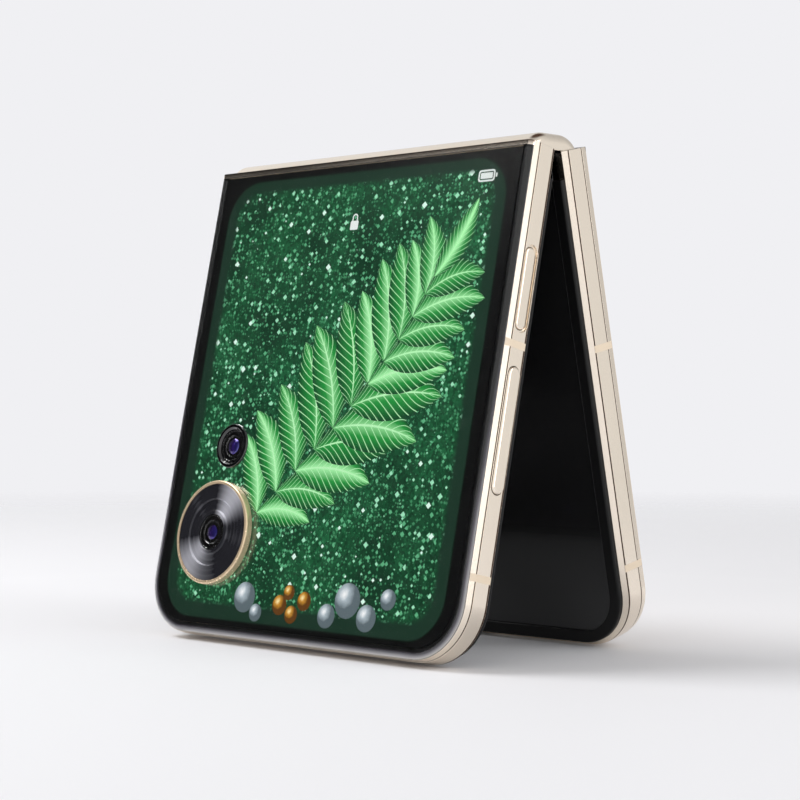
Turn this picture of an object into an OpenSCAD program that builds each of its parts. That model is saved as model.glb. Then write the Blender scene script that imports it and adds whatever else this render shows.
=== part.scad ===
// Foldable clamshell smartphone standing half open like a tent, hinge at the top.
// Each half is drawn in its own frame: X across the phone, Y the depth from its inner face to its
// outer face, Z the run from the hinge end to the free end. front_half() and rear_half() place it.

/* [Body] */
// Width across the phone, along the hinge
body_w = 75.6; // [72:0.1:82]
// Length of each half from its hinge end to its free end
half_run = 83.65; // [82:0.05:92]
// Depth of each half from the top of its inner bezel to its outer glass
half_depth = 7.15; // [7.15:0.05:8.5]
// Angle between the two halves as the phone stands
stand_angle = 24.8; // [10:0.2:60]
// Gap between the two bezels when the phone is shut
shut_gap = 0.6; // [0.4:0.05:0.8]
// Radius of the two outer corners of each half
corner_r = 9.8; // [7:0.1:12]

/* [Frame] */
// Depth of the metal below the top of the inner bezel
metal_start = 0.98; // [0.9:0.01:1.1]
// Width and depth of the bright inner chamfer
inner_chamfer = 0.75; // [0.4:0.05:0.8]
// Height of the outer shoulder between the flat band and the glass
shoulder_rise = 1.23; // [0.8:0.01:1.4]
// How far the outer shoulder leans in
shoulder_in = 0.2; // [0.1:0.01:0.4]
// Thickness of the frame wall round the parts inside
frame_wall = 1.9; // [1.6:0.1:2.4]
// Thickness of the side walls beside the spine
spine_side_wall = 0.9; // [0.7:0.05:1]
// Depth from the bezel top to the web that carries the display
web_start = 1; // [0.98:0.01:1.1]
// Thickness of that web
web_t = 0.75; // [0.6:0.05:0.8]
// Gap that each half leaves at its hinge end when the phone lies open
end_gap = 0.05; // [0.05:0.01:0.1]
// Width of the metal rim at the hinge end of the outer face
rim_run = 0.87; // [0.6:0.01:1.2]
// Width of the plastic antenna breaks in the frame
antenna_w = 1.2; // [0.8:0.1:1.6]

/* [Glass and displays] */
// How far the outer glass stands above the frame
glass_rise = 0.77; // [0.7:0.01:0.9]
// Width of the rounded edge of the outer glass
glass_roll = 1.02; // [0.8:0.01:1.1]
// Thickness of the outer glass over the display
glass_t = 0.35; // [0.3:0.01:0.4]
// Thickness of the cover display
cover_display_t = 0.22; // [0.18:0.01:0.24]
// Width of the soft bezel round the folding display
bezel_w = 2; // [1.6:0.1:2.4]
// How far the folding display lies below the bezel top
display_drop = 0.45; // [0.3:0.01:0.5]
// Thickness of the folding display
display_t = 0.25; // [0.2:0.01:0.26]
// Run of each half that the folding part of the display takes
fold_run = 4.6; // [4.4:0.05:5.2]

/* [Hinge] */
// Depth of each hinge axis below the top of the inner bezel
axis_depth = 1.625; // [1.6:0.005:1.65]
// Radius of the spine's rounded sides about the two hinge axes
spine_r = 4.65; // [4.5:0.01:4.68]
// Radius of the spine's rounded ends
spine_end_r = 1.7; // [1.2:0.1:2]
// Thickness of the spine's arched wall
spine_wall = 0.55; // [0.45:0.05:0.6]
// Thickness of the spine's end walls
spine_end_wall = 0.9; // [0.7:0.05:1.1]
// Clear gap between the spine and the parts that turn round it
turn_gap = 0.1; // [0.08:0.01:0.15]
// Distance of the middle of each hinge unit from the end of the spine
unit_end = 14.8; // [14.5:0.1:15.3]
// Radius of the hinge pins
pin_r = 0.6; // [0.5:0.01:0.62]
// Running clearance round a pin or a shaft
run_fit = 0.03; // [0.02:0.005:0.05]
// Gear module of the timing gears
gear_m = 0.2; // [0.195:0.001:0.2]
// Teeth of a full circle of the gear on each hinge arm
arm_teeth = 20; // [20:1:20]
// Teeth of each small timing gear
idler_teeth = 9; // [9:1:9]
// Width of the toothed knuckle of each hinge arm
knuckle_w = 2.5; // [2:0.1:2.6]
// Thickness of the leaf of each hinge arm
leaf_t = 0.7; // [0.6:0.05:0.7]

/* [Cameras] */
// Distance of the main camera from the side of the phone
main_cam_side = 15.5; // [13.8:0.1:17.8]
// Distance of the main camera from the free end
main_cam_end = 17.65; // [16.65:0.05:19.65]
// Radius of the gold ring round the main camera
ring_r = 9.1; // [8.7:0.1:9.4]
// How far the ring stands above the glass
ring_rise = 1.3; // [1:0.05:1.5]
// Distance of the wide camera from the side of the phone
wide_cam_side = 16; // [14.8:0.1:17.8]
// Distance between the two cameras along the half
camera_pitch = 15.4; // [15:0.1:16.4]
// Radius of the trim round the wide camera
wide_ring_r = 3.95; // [3.6:0.05:4.2]

/* [Keys and ports] */
// Start of the power key along the half
power_run = 16.9; // [16:0.1:17.5]
// Length of the power key
power_len = 13.3; // [12:0.1:13.6]
// Width of the power key
power_w = 2.2; // [2:0.05:2.3]
// Width of the shallow pocket round the power key
pocket_rim = 0.38; // [0.2:0.02:0.48]
// Depth of that pocket
pocket_deep = 0.35; // [0.2:0.05:0.5]
// Gap between the two keys
key_space = 6; // [5.2:0.1:6.8]
// Length of the volume key
volume_len = 20.3; // [18:0.1:22]
// Width of the volume key
volume_w = 2.6; // [2:0.05:2.8]
// How far the volume key stands out of the frame
key_proud = 0.3; // [0.2:0.01:0.4]
// Clear gap round each key
key_gap = 0.12; // [0.1:0.01:0.2]
// Width of the charging port's mouth
port_w = 8.94; // [8.8:0.01:9.1]
// Height of the charging port's mouth
port_h = 3.16; // [3.1:0.01:3.3]
// Distance of the start of the card tray from the free end
tray_from_end = 35.65; // [35.25:0.05:36.05]
// Length of the tray's face in the frame
tray_len = 13; // [12.6:0.1:13.4]
// Depth that the card tray reaches into the phone
tray_reach = 19; // [18:0.1:20]

/* [Hidden] */
$fn = 64;
tilt = stand_angle / 2;
half_w = body_w / 2;
axis_y = shut_gap / 2 + axis_depth;
axis_run = axis_y;
band_start = metal_start + inner_chamfer;
glass_start = half_depth - glass_rise;
shoulder_start = glass_start - shoulder_rise;
floor_z = (band_start - axis_depth) * sin(tilt) - (half_run - axis_run) * cos(tilt);
centre_x = key_proud / 2;
web_end = web_start + web_t;
spine_half = half_w - spine_side_wall - turn_gap;
unit_x = spine_half - unit_end;
main_cam_x = main_cam_side - half_w;
main_cam_run = half_run - main_cam_end;
wide_cam_x = wide_cam_side - half_w;
wide_cam_run = main_cam_run - camera_pitch;
volume_run = power_run + power_len + key_space;
tray_run = half_run - tray_from_end;
inner_w = half_w - frame_wall;
inner_run = half_run - frame_wall;
pocket_run = axis_run + spine_r + 3 * turn_gap;
pocket_roof = axis_depth + spine_r + turn_gap + 0.05;
cross_wall = 0.8;
cavity_run = pocket_run + cross_wall;
glass_back = half_depth - glass_t;
display_back = glass_back - 0.01 - cover_display_t;
roof_top = display_back - 0.02;
display_half = half_w - inner_chamfer - bezel_w - 0.1;
display_end = half_run - inner_chamfer - bezel_w - 0.1;
eps = 0.01;
fit_gap = 0.05;
big = 200;

idler_r = gear_m * idler_teeth / 2;
arm_pitch_r = gear_m * arm_teeth / 2;
idler_z = sqrt(pow(arm_pitch_r + idler_r, 2) - pow(axis_y - idler_r, 2));
mesh_angle = atan2(idler_z, axis_y - idler_r);
arm_step = 360 / arm_teeth;
idler_step = 360 / idler_teeth;
last_tooth = 199.5;
plate_x = knuckle_w + 3 * turn_gap;
plate_t = 1.2;
shaft_r = 0.3;
channel_half = 1.1;
channel_top = 1.58;
unit_reach = unit_end - spine_end_wall - 0.4;

// Placing

module stand() {
    translate([-centre_x, 0, -floor_z]) children();
}

module front_half() {
    stand() translate([0, -axis_y, 0]) rotate([180 - tilt, 0, 0])
        translate([0, -axis_depth, -axis_run]) children();
}

module rear_half() {
    stand() mirror([0, 1, 0]) translate([0, -axis_y, 0]) rotate([180 - tilt, 0, 0])
        translate([0, -axis_depth, -axis_run]) children();
}

module both_sides() {
    children();
    mirror([1, 0, 0]) children();
}

// Building blocks in the frame of a half

// Box between two corners
module block(x, y, z) {
    translate([x[0], y[0], z[0]]) cube([x[1] - x[0], y[1] - y[0], z[1] - z[0]]);
}

// Cylinder through the depth of a half
module post(x, run, r, depth) {
    translate([x, depth[0], run]) rotate([-90, 0, 0]) cylinder(h = depth[1] - depth[0], r = r);
}

// Cylinder along the width
module bar(y, z, r, x) {
    translate([x[0], y, z]) rotate([0, 90, 0]) cylinder(h = x[1] - x[0], r = r);
}

// Plate with the outline of a half and an edge profile of [inset, depth] points,
// straight at the hinge end and round at the two far corners
module half_slab(profile, start = 0, r = corner_r) {
    n = len(profile);
    back = [for (i = [n - 1:-1:0]) profile[i]];
    translate([0, 0, start]) linear_extrude(half_run - r - start)
        polygon(concat([for (p = profile) [half_w - p[0], p[1]]], [for (p = back) [p[0] - half_w, p[1]]]));
    translate([r - half_w, 0, 0]) rotate([90, 0, 90]) linear_extrude(2 * (half_w - r))
        polygon(concat([for (p = profile) [p[1], half_run - p[0]]],
            [[profile[n - 1][1], start], [profile[0][1], start]]));
    for (side = [-1, 1]) translate([side * (half_w - r), 0, half_run - r]) rotate([-90, 0, 0])
        rotate_extrude() polygon(concat([for (p = profile) [r - p[0], p[1]]],
            [[0, profile[n - 1][1]], [0, profile[0][1]]]));
}

// Plain plate: one inset, from one depth to another
module half_plate(inset, depth, start = 0) {
    half_slab([[inset, depth[0]], [inset, depth[1]]], start);
}

// Slot with round ends on a side face, drawn along X
module side_slot(run, len, width, x) {
    r = width / 2;
    mid = (band_start + shoulder_start) / 2;
    bar(mid, run + r, r, x);
    bar(mid, run + len - r, r, x);
    block(x, [mid - r, mid + r], [run + r, run + len - r]);
}

// Frames

frame_profile = [
    [inner_chamfer, metal_start], [0, band_start], [0, shoulder_start], [shoulder_in, glass_start]
];

// Metal frame with its web, cross wall, spine pocket and the thin roof over that pocket
module frame_body() {
    difference() {
        union() {
            half_slab(frame_profile, end_gap);
            intersection() {
                half_slab(glass_profile);
                block([-big, big], [0, big], [end_gap, rim_run]);
            }
            block([frame_wall - half_w, half_w - frame_wall], [glass_start - eps, roof_top],
                [end_gap, cavity_run]);
        }
        // Space for the boards and batteries
        intersection() {
            half_plate(frame_wall, [web_end, big]);
            block([-big, big], [web_end, big], [cavity_run, big]);
        }
        // Pocket that takes the spine
        block([spine_side_wall - half_w, half_w - spine_side_wall], [web_end + turn_gap, pocket_roof],
            [-eps, pocket_run]);
        // Space for the fold of the display, beside its two metal ledges
        block([bezel_w - half_w, half_w - bezel_w], [-big, web_end + 2 * turn_gap], [-eps, fold_run]);
        block([spine_side_wall - half_w, half_w - spine_side_wall], [-big, web_end + 2 * turn_gap],
            [-eps, 3 * turn_gap]);
        // Seat of the plate that backs the display
        block([-display_half, display_half], [-big, web_start], [-eps, display_end]);
    }
}

// Seats of one hinge arm: slot for the leaf, pad with two blind screw holes
leaf_x = 1.5 * turn_gap;
foot_run = [cavity_run + 0.525, cavity_run + 5.325];
pad_depth = 3.2;
screw_r = 0.5;
foot_in = knuckle_w + 0.5;
foot_out = knuckle_w + 3.5;
screw_x = [-1.3, 4.3];

module arm_pad() {
    block([-foot_in - 1, foot_out + 1], [web_end - 0.1, pad_depth], [pocket_run, foot_run[1] + 1]);
}

module arm_seat() {
    block([-foot_in - turn_gap, foot_out + turn_gap], [-eps, web_start + leaf_t + 0.05],
        [foot_run[0] - turn_gap, foot_run[1] + turn_gap]);
    block([turn_gap / 2, knuckle_w + 2 * turn_gap], [-eps, web_start + leaf_t + 0.05 + turn_gap],
        [fold_run - 1, foot_run[0]]);
    for (x = screw_x) post(x, (foot_run[0] + foot_run[1]) / 2, screw_r, [0, pad_depth - 0.3]);
}

// One hinge arm: a toothed knuckle that wraps the pin, a leaf under the display and a screwed foot.
// It is drawn for the right-hand unit, with X measured from the unit's middle.
module arm_gear(phase) {
    wrap = [-20, 204];
    root_r = arm_pitch_r - 1.15 * gear_m;
    tip_r = arm_pitch_r + 0.9 * gear_m;
    root_half = 0.29 * arm_step;
    tip_half = 0.12 * arm_step;
    first = last_tooth - phase;
    teeth = [for (k = [0:6]) first - k * arm_step];
    steps = 24;
    at = function(r, b) [axis_depth + r * sin(b), axis_run + r * cos(b)];
    rotate([90, 0, 90]) linear_extrude(knuckle_w) difference() {
        union() {
            polygon(concat(
                [for (i = [0:steps]) at(root_r, wrap[0] + (wrap[1] - wrap[0]) * i / steps)],
                [at(0.1, 92)]));
            for (b = teeth) polygon([at(root_r - 0.05, b - root_half), at(root_r, b - root_half),
                at(tip_r, b - tip_half), at(tip_r, b + tip_half), at(root_r, b + root_half),
                at(root_r - 0.05, b + root_half)]);
        }
        translate([axis_depth, axis_run]) circle(r = pin_r + run_fit);
    }
}

module hinge_arm(phase) {
    difference() {
        union() {
            translate([leaf_x, 0, 0]) arm_gear(phase);
            block([leaf_x, leaf_x + knuckle_w],
                [web_start + fit_gap, web_start + leaf_t], [axis_run + pin_r + 3 * run_fit, foot_run[0] + 1]);
            block([-foot_in, foot_out], [web_start + fit_gap, web_start + leaf_t], foot_run);
        }
        for (x = screw_x) post(x, (foot_run[0] + foot_run[1]) / 2, screw_r + 0.05, [0, 3]);
        for (x = screw_x) post(x, (foot_run[0] + foot_run[1]) / 2, 1.05, [0, web_start + 0.35]);
    }
}

module arm_screws() {
    for (x = screw_x) {
        post(x, (foot_run[0] + foot_run[1]) / 2, screw_r, [web_start + 0.2, pad_depth - 0.3]);
        post(x, (foot_run[0] + foot_run[1]) / 2, 1, [web_start + fit_gap, web_start + 0.35]);
    }
}

// Places the right-hand unit, and its mirror image on the left
module unit(side) {
    mirror([side < 0 ? 1 : 0, 0, 0]) translate([unit_x, 0, 0]) children();
}

// The rear half's arms lie on the other side of each unit
module rear_unit(side) {
    unit(side) mirror([1, 0, 0]) children();
}

// Outer panels

glass_r = (glass_roll * glass_roll + glass_rise * glass_rise) / (2 * glass_rise);
roll_steps = 8;
roll_angle = asin(glass_roll / glass_r);
glass_profile = concat([[shoulder_in, glass_start]], [for (i = [1:roll_steps])
    let (a = roll_angle * (1 - i / roll_steps))
    [shoulder_in + glass_roll - glass_r * sin(a), half_depth - glass_r * (1 - cos(a))]]);

// Rounded outer panel with a recess in its back
module outer_panel() {
    difference() {
        intersection() {
            half_slab(glass_profile);
            block([-big, big], [0, big], [rim_run + 0.02, big]);
        }
        half_plate(frame_wall, [0, glass_back]);
    }
}

// Sheet that fills the recess in the back of an outer panel
module panel_sheet(thickness) {
    intersection() {
        half_plate(frame_wall + 0.05, [glass_back - 0.01 - thickness, glass_back - 0.01]);
        block([-big, big], [0, big], [frame_wall - rim_run + 0.05, big]);
    }
}

// Through holes for the two cameras in the cover glass and its display
module camera_holes(extra) {
    post(main_cam_x, main_cam_run, tube_r + 0.05 + extra, [0, big]);
    post(wide_cam_x, wide_cam_run, wide_ring_r - 0.5 + extra, [0, big]);
}

// Antenna breaks in the frame wall, at the same places on both sides of a half
break_runs = [(power_run + power_len + volume_run - 1) / 2, half_run - 13.85];

module antenna_breaks(extra = 0) {
    intersection() {
        difference() {
            half_slab(frame_profile);
            half_plate(frame_wall - 0.6 + extra, [-big, big]);
        }
        union() for (run = break_runs) {
            block([-big, big], [band_start, big], [run - antenna_w / 2 - extra, run + antenna_w / 2 + extra]);
        }
    }
}

// Spine

// Outline of the spine in the plane across the hinge: two circles about the axes and the box between
module spine_outline(r) {
    translate([-axis_y, 0]) circle(r = r);
    translate([axis_y, 0]) circle(r = r);
    translate([-axis_y, -r]) square([2 * axis_y, 2 * r]);
}

function sort_pair(a, b) = [min(a, b), max(a, b)];

module across(x) {
    translate([x[0], 0, 0]) rotate([90, 0, 90]) linear_extrude(x[1] - x[0]) children();
}

// Half outline of the spine along its length, rounded at both ends
module spine_profile() {
    flat_r = spine_r - spine_end_r;
    flat_half = spine_half - spine_end_r;
    translate([0, -flat_half]) square([spine_r, 2 * flat_half]);
    translate([0, -spine_half]) square([flat_r, 2 * spine_half]);
    for (end = [-1, 1]) translate([flat_r, end * flat_half]) circle(r = spine_end_r);
}

// Spine solid: the outline turned about each hinge axis, and stretched between the two
module spine_solid() {
    for (side = [-1, 1]) translate([0, side * axis_y, 0]) rotate([0, 90, 0])
        rotate_extrude() spine_profile();
    translate([0, axis_y, 0]) rotate([90, -90, 0]) linear_extrude(2 * axis_y) spine_profile();
}

skirt_z = 0.3;
ledge_clear = norm([axis_depth - metal_start, axis_run - 3 * turn_gap]) + turn_gap;

module spine_cover() {
    color([0.89, 0.81, 0.7]) stand() difference() {
        spine_solid();
        across([-spine_half + spine_end_wall, spine_half - spine_end_wall])
            spine_outline(spine_r - spine_wall);
        across([-big, big]) spine_outline(ledge_clear);
        block([-big, big], [-big, big], [-big, skirt_z]);
    }
}

// Hinge unit in the spine: an arched rail, two plates that hold the pins, and spring seats
lug_r = pin_r + 0.28;
rail_r = spine_r - spine_wall - 0.05;
slider_x = plate_x + plate_t + 0.1;
slider_t = 1.2;
spring_x = slider_x + slider_t + 0.05;
spring_end = unit_reach - 1.5;
spring_y = -2.2;
spring_z = 2.7;
spring_r = 0.62;
wire_r = 0.12;

finger_gap = 0.08;

module slider_finger(x, extra = 0) {
    block([x[0], x[1]], [-axis_y - 0.5 - extra, -axis_y + 0.5 + extra], [1 - extra, 1.6 + extra]);
}

module hinge_base() {
    difference() {
        union() {
            difference() {
                union() {
                    difference() {
                        across([-unit_reach, unit_reach]) spine_outline(rail_r);
                        across([-big, big]) spine_outline(rail_r - 0.5);
                    }
                    difference() {
                        across([-plate_x - plate_t, plate_x + plate_t]) spine_outline(rail_r);
                        across([-plate_x, plate_x]) spine_outline(arm_pitch_r + 1.5 * gear_m);
                    }
                    for (end = [-1, 1]) across(sort_pair(end * (spring_end + 0.05), end * unit_reach))
                        spine_outline(rail_r);
                }
                // Only the lugs round the pins reach below the skirts of the spine
                block([-big, big], [-big, big], [-big, skirt_z + 0.05]);
                for (end = [-1, 1]) block(sort_pair(end * (plate_x + plate_t), end * big), [-big, big],
                    [-big, skirt_z + 0.7]);
            }
            for (end = [-1, 1]) for (side = [-1, 1]) {
                bar(side * axis_y, 0, lug_r, sort_pair(end * plate_x, end * (plate_x + plate_t)));
                block(sort_pair(end * plate_x, end * (plate_x + plate_t)),
                    [side * axis_y - lug_r, side * axis_y + lug_r], [0, skirt_z + 1]);
            }
        }
        // Teeth of the two small gears turn in here, and their shafts run through the plates
        for (side = [-1, 1]) {
            bar(side * idler_r, idler_z, idler_r + 1.5 * gear_m, [-plate_x, plate_x]);
            bar(side * idler_r, idler_z, shaft_r + run_fit, [-big, big]);
            bar(side * axis_y, 0, pin_r + 0.01, [-plate_x - plate_t - eps, plate_x + plate_t + eps]);
        }
        // Channel for the fold of the display
        block([-big, big], [-channel_half, channel_half], [-big, channel_top]);
        // Windows for the fingers of the detent sliders, and holes for the spring rods
        detent_pair() {
            slider_finger([0, plate_x + plate_t + eps], finger_gap);
            spring_rod(fit_gap);
        }
    }
}

module unit_pins() {
    for (side = [-1, 1]) bar(side * axis_y, 0, pin_r, [-plate_x - plate_t, plate_x + plate_t]);
}

// Slider that a spring presses against the knuckle of one arm, and the rod it runs on
module detent_slider() {
    slider_finger([knuckle_w + leaf_x + 0.04, slider_x + eps]);
    difference() {
        block([slider_x, slider_x + slider_t], [-3.1, -1.4], [1.05, 3.3]);
        bar(spring_y, spring_z, shaft_r + run_fit, [0, big]);
    }
}

module spring_rod(extra = 0) {
    bar(spring_y, spring_z, shaft_r + extra, [plate_x + 0.4 - extra, unit_reach - 0.5 + extra]);
}

coil_turns = 7;
coil_steps = 9;
coil_sides = 5;

// Coil spring on the rod, swept along a helix
module detent_spring() {
    len = spring_end - spring_x - 2 * wire_r - 0.02;
    count = coil_turns * coil_steps;
    ring = function(i) [for (j = [0:coil_sides - 1])
        let (a = 360 * i / coil_steps, b = 360 * j / coil_sides, r = spring_r + wire_r * cos(b))
        [spring_x + wire_r + 0.01 + len * i / count + wire_r * sin(b), spring_y + r * cos(a),
            spring_z + r * sin(a)]];
    points = [for (i = [0:count]) each ring(i)];
    last = count * coil_sides;
    sides = [for (i = [0:count - 1]) for (j = [0:coil_sides - 1])
        let (a = i * coil_sides + j, b = i * coil_sides + (j + 1) % coil_sides) each
        [[a, b + coil_sides, a + coil_sides], [a, b, b + coil_sides]]];
    caps = [for (j = [1:coil_sides - 2]) each [[0, j + 1, j], [last, last + j, last + j + 1]]];
    polyhedron(points, concat(sides, caps));
}

module detent_pair() {
    children();
    mirror([1, 0, 0]) mirror([0, 1, 0]) children();
}

// Small timing gear of the front side; the rear one is its mirror image half a tooth round
module timing_gear(side) {
    root_r = idler_r - 1.15 * gear_m;
    tip_r = idler_r + 0.9 * gear_m;
    root_half = 0.29 * idler_step;
    tip_half = 0.1 * idler_step;
    at = function(r, a) [r * cos(a), r * sin(a)];
    // Angle that the arm has turned since its last tooth stood on the line of centres
    turned_by = tilt + last_tooth + mesh_angle - 270;
    space = mesh_angle + 180 + turned_by * arm_teeth / idler_teeth;
    first = side < 0 ? space + idler_step / 2 : 180 - space;
    translate([0, side * idler_r, idler_z]) {
        rotate([90, 0, 90]) translate([0, 0, -knuckle_w - leaf_x])
            linear_extrude(2 * (knuckle_w + leaf_x)) union() {
            circle(r = root_r);
            for (k = [0:idler_teeth - 1]) let (a = first + k * idler_step) polygon([
                at(root_r - 0.05, a - root_half), at(root_r, a - root_half), at(tip_r, a - tip_half),
                at(tip_r, a + tip_half), at(root_r, a + root_half), at(root_r - 0.05, a + root_half)]);
        }
        rotate([0, 90, 0]) cylinder(h = 2 * (plate_x + plate_t - 0.1), r = shaft_r, center = true);
    }
}

module hinge_base_left() { color([0.55, 0.55, 0.57]) stand() unit(-1) hinge_base(); }
module hinge_base_right() { color([0.55, 0.55, 0.57]) stand() unit(1) hinge_base(); }
module hinge_pins() { color([0.75, 0.75, 0.77]) stand() for (side = [-1, 1]) unit(side) unit_pins(); }

module detent_sliders() {
    color([0.7, 0.66, 0.55]) stand() for (side = [-1, 1]) unit(side) detent_pair() detent_slider();
}

module detent_springs() {
    color([0.6, 0.62, 0.65]) stand() for (side = [-1, 1]) unit(side) detent_pair() {
        detent_spring();
        spring_rod();
    }
}

module timing_gear_front_left() { color([0.8, 0.72, 0.5]) stand() unit(-1) timing_gear(-1); }
module timing_gear_rear_left() { color([0.8, 0.72, 0.5]) stand() unit(-1) timing_gear(1); }
module timing_gear_front_right() { color([0.8, 0.72, 0.5]) stand() unit(1) timing_gear(-1); }
module timing_gear_rear_right() { color([0.8, 0.72, 0.5]) stand() unit(1) timing_gear(1); }

// Strip bent round the fold: a straight leg in each half and an arc between them.
// depth and run give the start of a leg in its half, mid_r the arc's radius.
module bent_strip(half_x, depth, run, leg, mid_r, thickness) {
    from_y = axis_y + (depth - axis_depth) * cos(tilt) + (run - axis_run) * sin(tilt);
    from_z = (depth - axis_depth) * sin(tilt) - (run - axis_run) * cos(tilt);
    arc_z = from_z + leg * cos(tilt) - mid_r * sin(tilt);
    across([-half_x, half_x]) {
        for (side = [-1, 1]) translate([side * from_y, from_z]) rotate(side * tilt)
            translate([-thickness / 2, 0]) square([thickness, leg + eps]);
        intersection() {
            translate([0, arc_z]) difference() {
                circle(r = mid_r + thickness / 2);
                circle(r = mid_r - thickness / 2);
            }
            translate([0, arc_z]) polygon([[0, 0], [-9 * cos(tilt), 9 * sin(tilt)], [-9, 20], [9, 20],
                [9 * cos(tilt), 9 * sin(tilt)]]);
        }
    }
}

film_depth = display_drop + display_t / 2;
film_y = axis_y + (film_depth - axis_depth) * cos(tilt) + (fold_run - axis_run) * sin(tilt);
tilt_rad = (90 - tilt) * PI / 180;
film_r = (film_y - fold_run * sin(tilt)) / (cos(tilt) - tilt_rad * sin(tilt));
film_leg = fold_run - film_r * tilt_rad;

module fold_film() {
    color([0.1, 0.1, 0.11]) stand()
        bent_strip(display_half, film_depth, fold_run - 0.05, film_leg - 0.05, film_r, display_t);
}

flex_depth = web_end + turn_gap + 0.08;
flex_run = cavity_run + 3.325;
flex_half = unit_x - unit_reach - 3.5;
flex_t = 0.12;
flex_centre_z = 0.3;
flex_y = axis_y + (flex_depth - axis_depth) * cos(tilt) + (flex_run - axis_run) * sin(tilt);
flex_z = (flex_depth - axis_depth) * sin(tilt) - (flex_run - axis_run) * cos(tilt);
flex_r = flex_y * cos(tilt) - (flex_centre_z - flex_z) * sin(tilt);
flex_leg = flex_y * sin(tilt) + (flex_centre_z - flex_z) * cos(tilt);

module hinge_flex() {
    color([0.75, 0.5, 0.15]) stand()
        bent_strip(flex_half, flex_depth, flex_run, flex_leg, flex_r, flex_t);
}

// The same flex where it lies on the web of a half, up to its board
module flex_tail(to_run) {
    block([-flex_half, flex_half], [flex_depth - flex_t / 2, flex_depth + flex_t / 2],
        [flex_run + 0.02, to_run]);
}

// Slot through the cross wall for the flex
module flex_slot() {
    block([-flex_half - 0.3, flex_half + 0.3], [web_end, flex_depth + 0.35],
        [pocket_run - eps, cavity_run + eps]);
}

// Front half

key_mid = (band_start + shoulder_start) / 2;
key_depth_x = frame_wall + 0.3;
earpiece_x = 5;
earpiece_run = [inner_run - 2.1, inner_run - 0.7];

module key_opening(run, len, width, from_x = inner_w - 1) {
    side_slot(run - key_gap, len + 2 * key_gap, width + 2 * key_gap, [from_x, half_w + 1]);
}

module front_frame() {
    color([0.9, 0.83, 0.72]) front_half() difference() {
        union() {
            frame_body();
            for (side = [-1, 1]) unit(side) arm_pad();
        }
        for (side = [-1, 1]) unit(side) arm_seat();
        flex_slot();
        key_opening(power_run, power_len, power_w);
        key_opening(power_run - pocket_rim, power_len + 2 * pocket_rim, power_w + 2 * pocket_rim,
            half_w - pocket_deep);
        key_opening(volume_run, volume_len, volume_w);
        antenna_breaks(eps);
        // Seats for the selfie camera and the earpiece
        post(0, selfie_run, selfie_r + 0.1, [0, web_end + eps]);
        block([-earpiece_x - fit_gap, earpiece_x + fit_gap], [metal_start - eps, web_end + eps],
            [earpiece_run[0] - fit_gap, earpiece_run[1] + fit_gap]);
        magnet_seats();
    }
}

module front_hinge_arm_left() { color([0.5, 0.5, 0.53]) front_half() unit(-1) hinge_arm(0); }
module front_hinge_arm_right() { color([0.5, 0.5, 0.53]) front_half() unit(1) hinge_arm(0); }

module front_arm_screws() {
    color([0.3, 0.3, 0.32]) front_half() for (side = [-1, 1]) unit(side) arm_screws();
}

module cover_glass() {
    color([0.05, 0.1, 0.08]) front_half() difference() {
        outer_panel();
        camera_holes(0);
    }
}

module cover_display() {
    color([0.05, 0.3, 0.15]) front_half() difference() {
        panel_sheet(cover_display_t);
        camera_holes(0.3);
    }
}

selfie_run = half_run - 7.4;
selfie_r = 1.9;
selfie_box = selfie_r + 0.7;

module inner_display() {
    r = corner_r - inner_chamfer - bezel_w;
    intersection() {
        half_plate(inner_chamfer + bezel_w + 0.1, [display_drop, display_drop + display_t]);
        block([-big, big], [0, big], [fold_run, big]);
    }
}

module support_plate() {
    intersection() {
        half_plate(inner_chamfer + bezel_w + 0.15, [display_drop + display_t + 0.01, web_start - 0.01]);
        block([-big, big], [0, big], [fold_run, big]);
    }
}

// Soft raised bezel, open at the fold
module bezel() {
    edge = 0.3;
    difference() {
        intersection() {
            half_slab([[inner_chamfer + edge, 0], [inner_chamfer, edge], [inner_chamfer, metal_start]]);
            block([-big, big], [-1, big], [fold_run, big]);
        }
        half_plate(inner_chamfer + bezel_w, [-big, big]);
    }
}

module front_inner_display() {
    color([0.06, 0.06, 0.07]) front_half() difference() {
        inner_display();
        post(0, selfie_run, selfie_r, [0, big]);
    }
}

module front_support_plate() {
    color([0.6, 0.6, 0.62]) front_half() difference() {
        support_plate();
        post(0, selfie_run, selfie_r + 0.1, [0, big]);
    }
}

module front_bezel() { color([0.04, 0.04, 0.05]) front_half() bezel(); }

// Turned pieces about the main camera, drawn as [radius, depth] outlines
module turned(x, run, outline) {
    translate([x, 0, run]) rotate([-90, 0, 0]) rotate_extrude() polygon(outline);
}

ring_top = half_depth + ring_rise;
tube_r = ring_r - 0.95;
disc_low_r = tube_r - 0.45;
disc_r = ring_r - 0.65;
lens_r = 3.1;
main_box = tube_r - 2.15;
wide_box = wide_ring_r + 0.25;

module camera_ring() {
    color([0.93, 0.82, 0.68]) front_half() turned(main_cam_x, main_cam_run, [
        [disc_low_r + 0.05, glass_back - 1], [tube_r, glass_back - 1], [tube_r, half_depth + 0.02],
        [ring_r, half_depth + 0.02], [ring_r, ring_top - 0.35], [ring_r - 0.1, ring_top - 0.12],
        [ring_r - 0.35, ring_top], [disc_r + 0.05, ring_top - 0.08], [disc_r + 0.05, half_depth + 0.3],
        [disc_low_r + 0.05, half_depth + 0.3]]);
}

module camera_disc() {
    color([0.3, 0.3, 0.33]) front_half() turned(main_cam_x, main_cam_run, [
        [lens_r + 0.05, half_depth - 0.9], [disc_low_r, half_depth - 0.9], [disc_low_r, half_depth + 0.35],
        [disc_r, half_depth + 0.35], [disc_r, ring_top - 0.15], [lens_r + 2.7, ring_top - 0.05],
        [lens_r + 2.6, ring_top - 0.25], [lens_r + 0.6, ring_top - 0.15], [lens_r + 0.05, ring_top]]);
}

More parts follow.
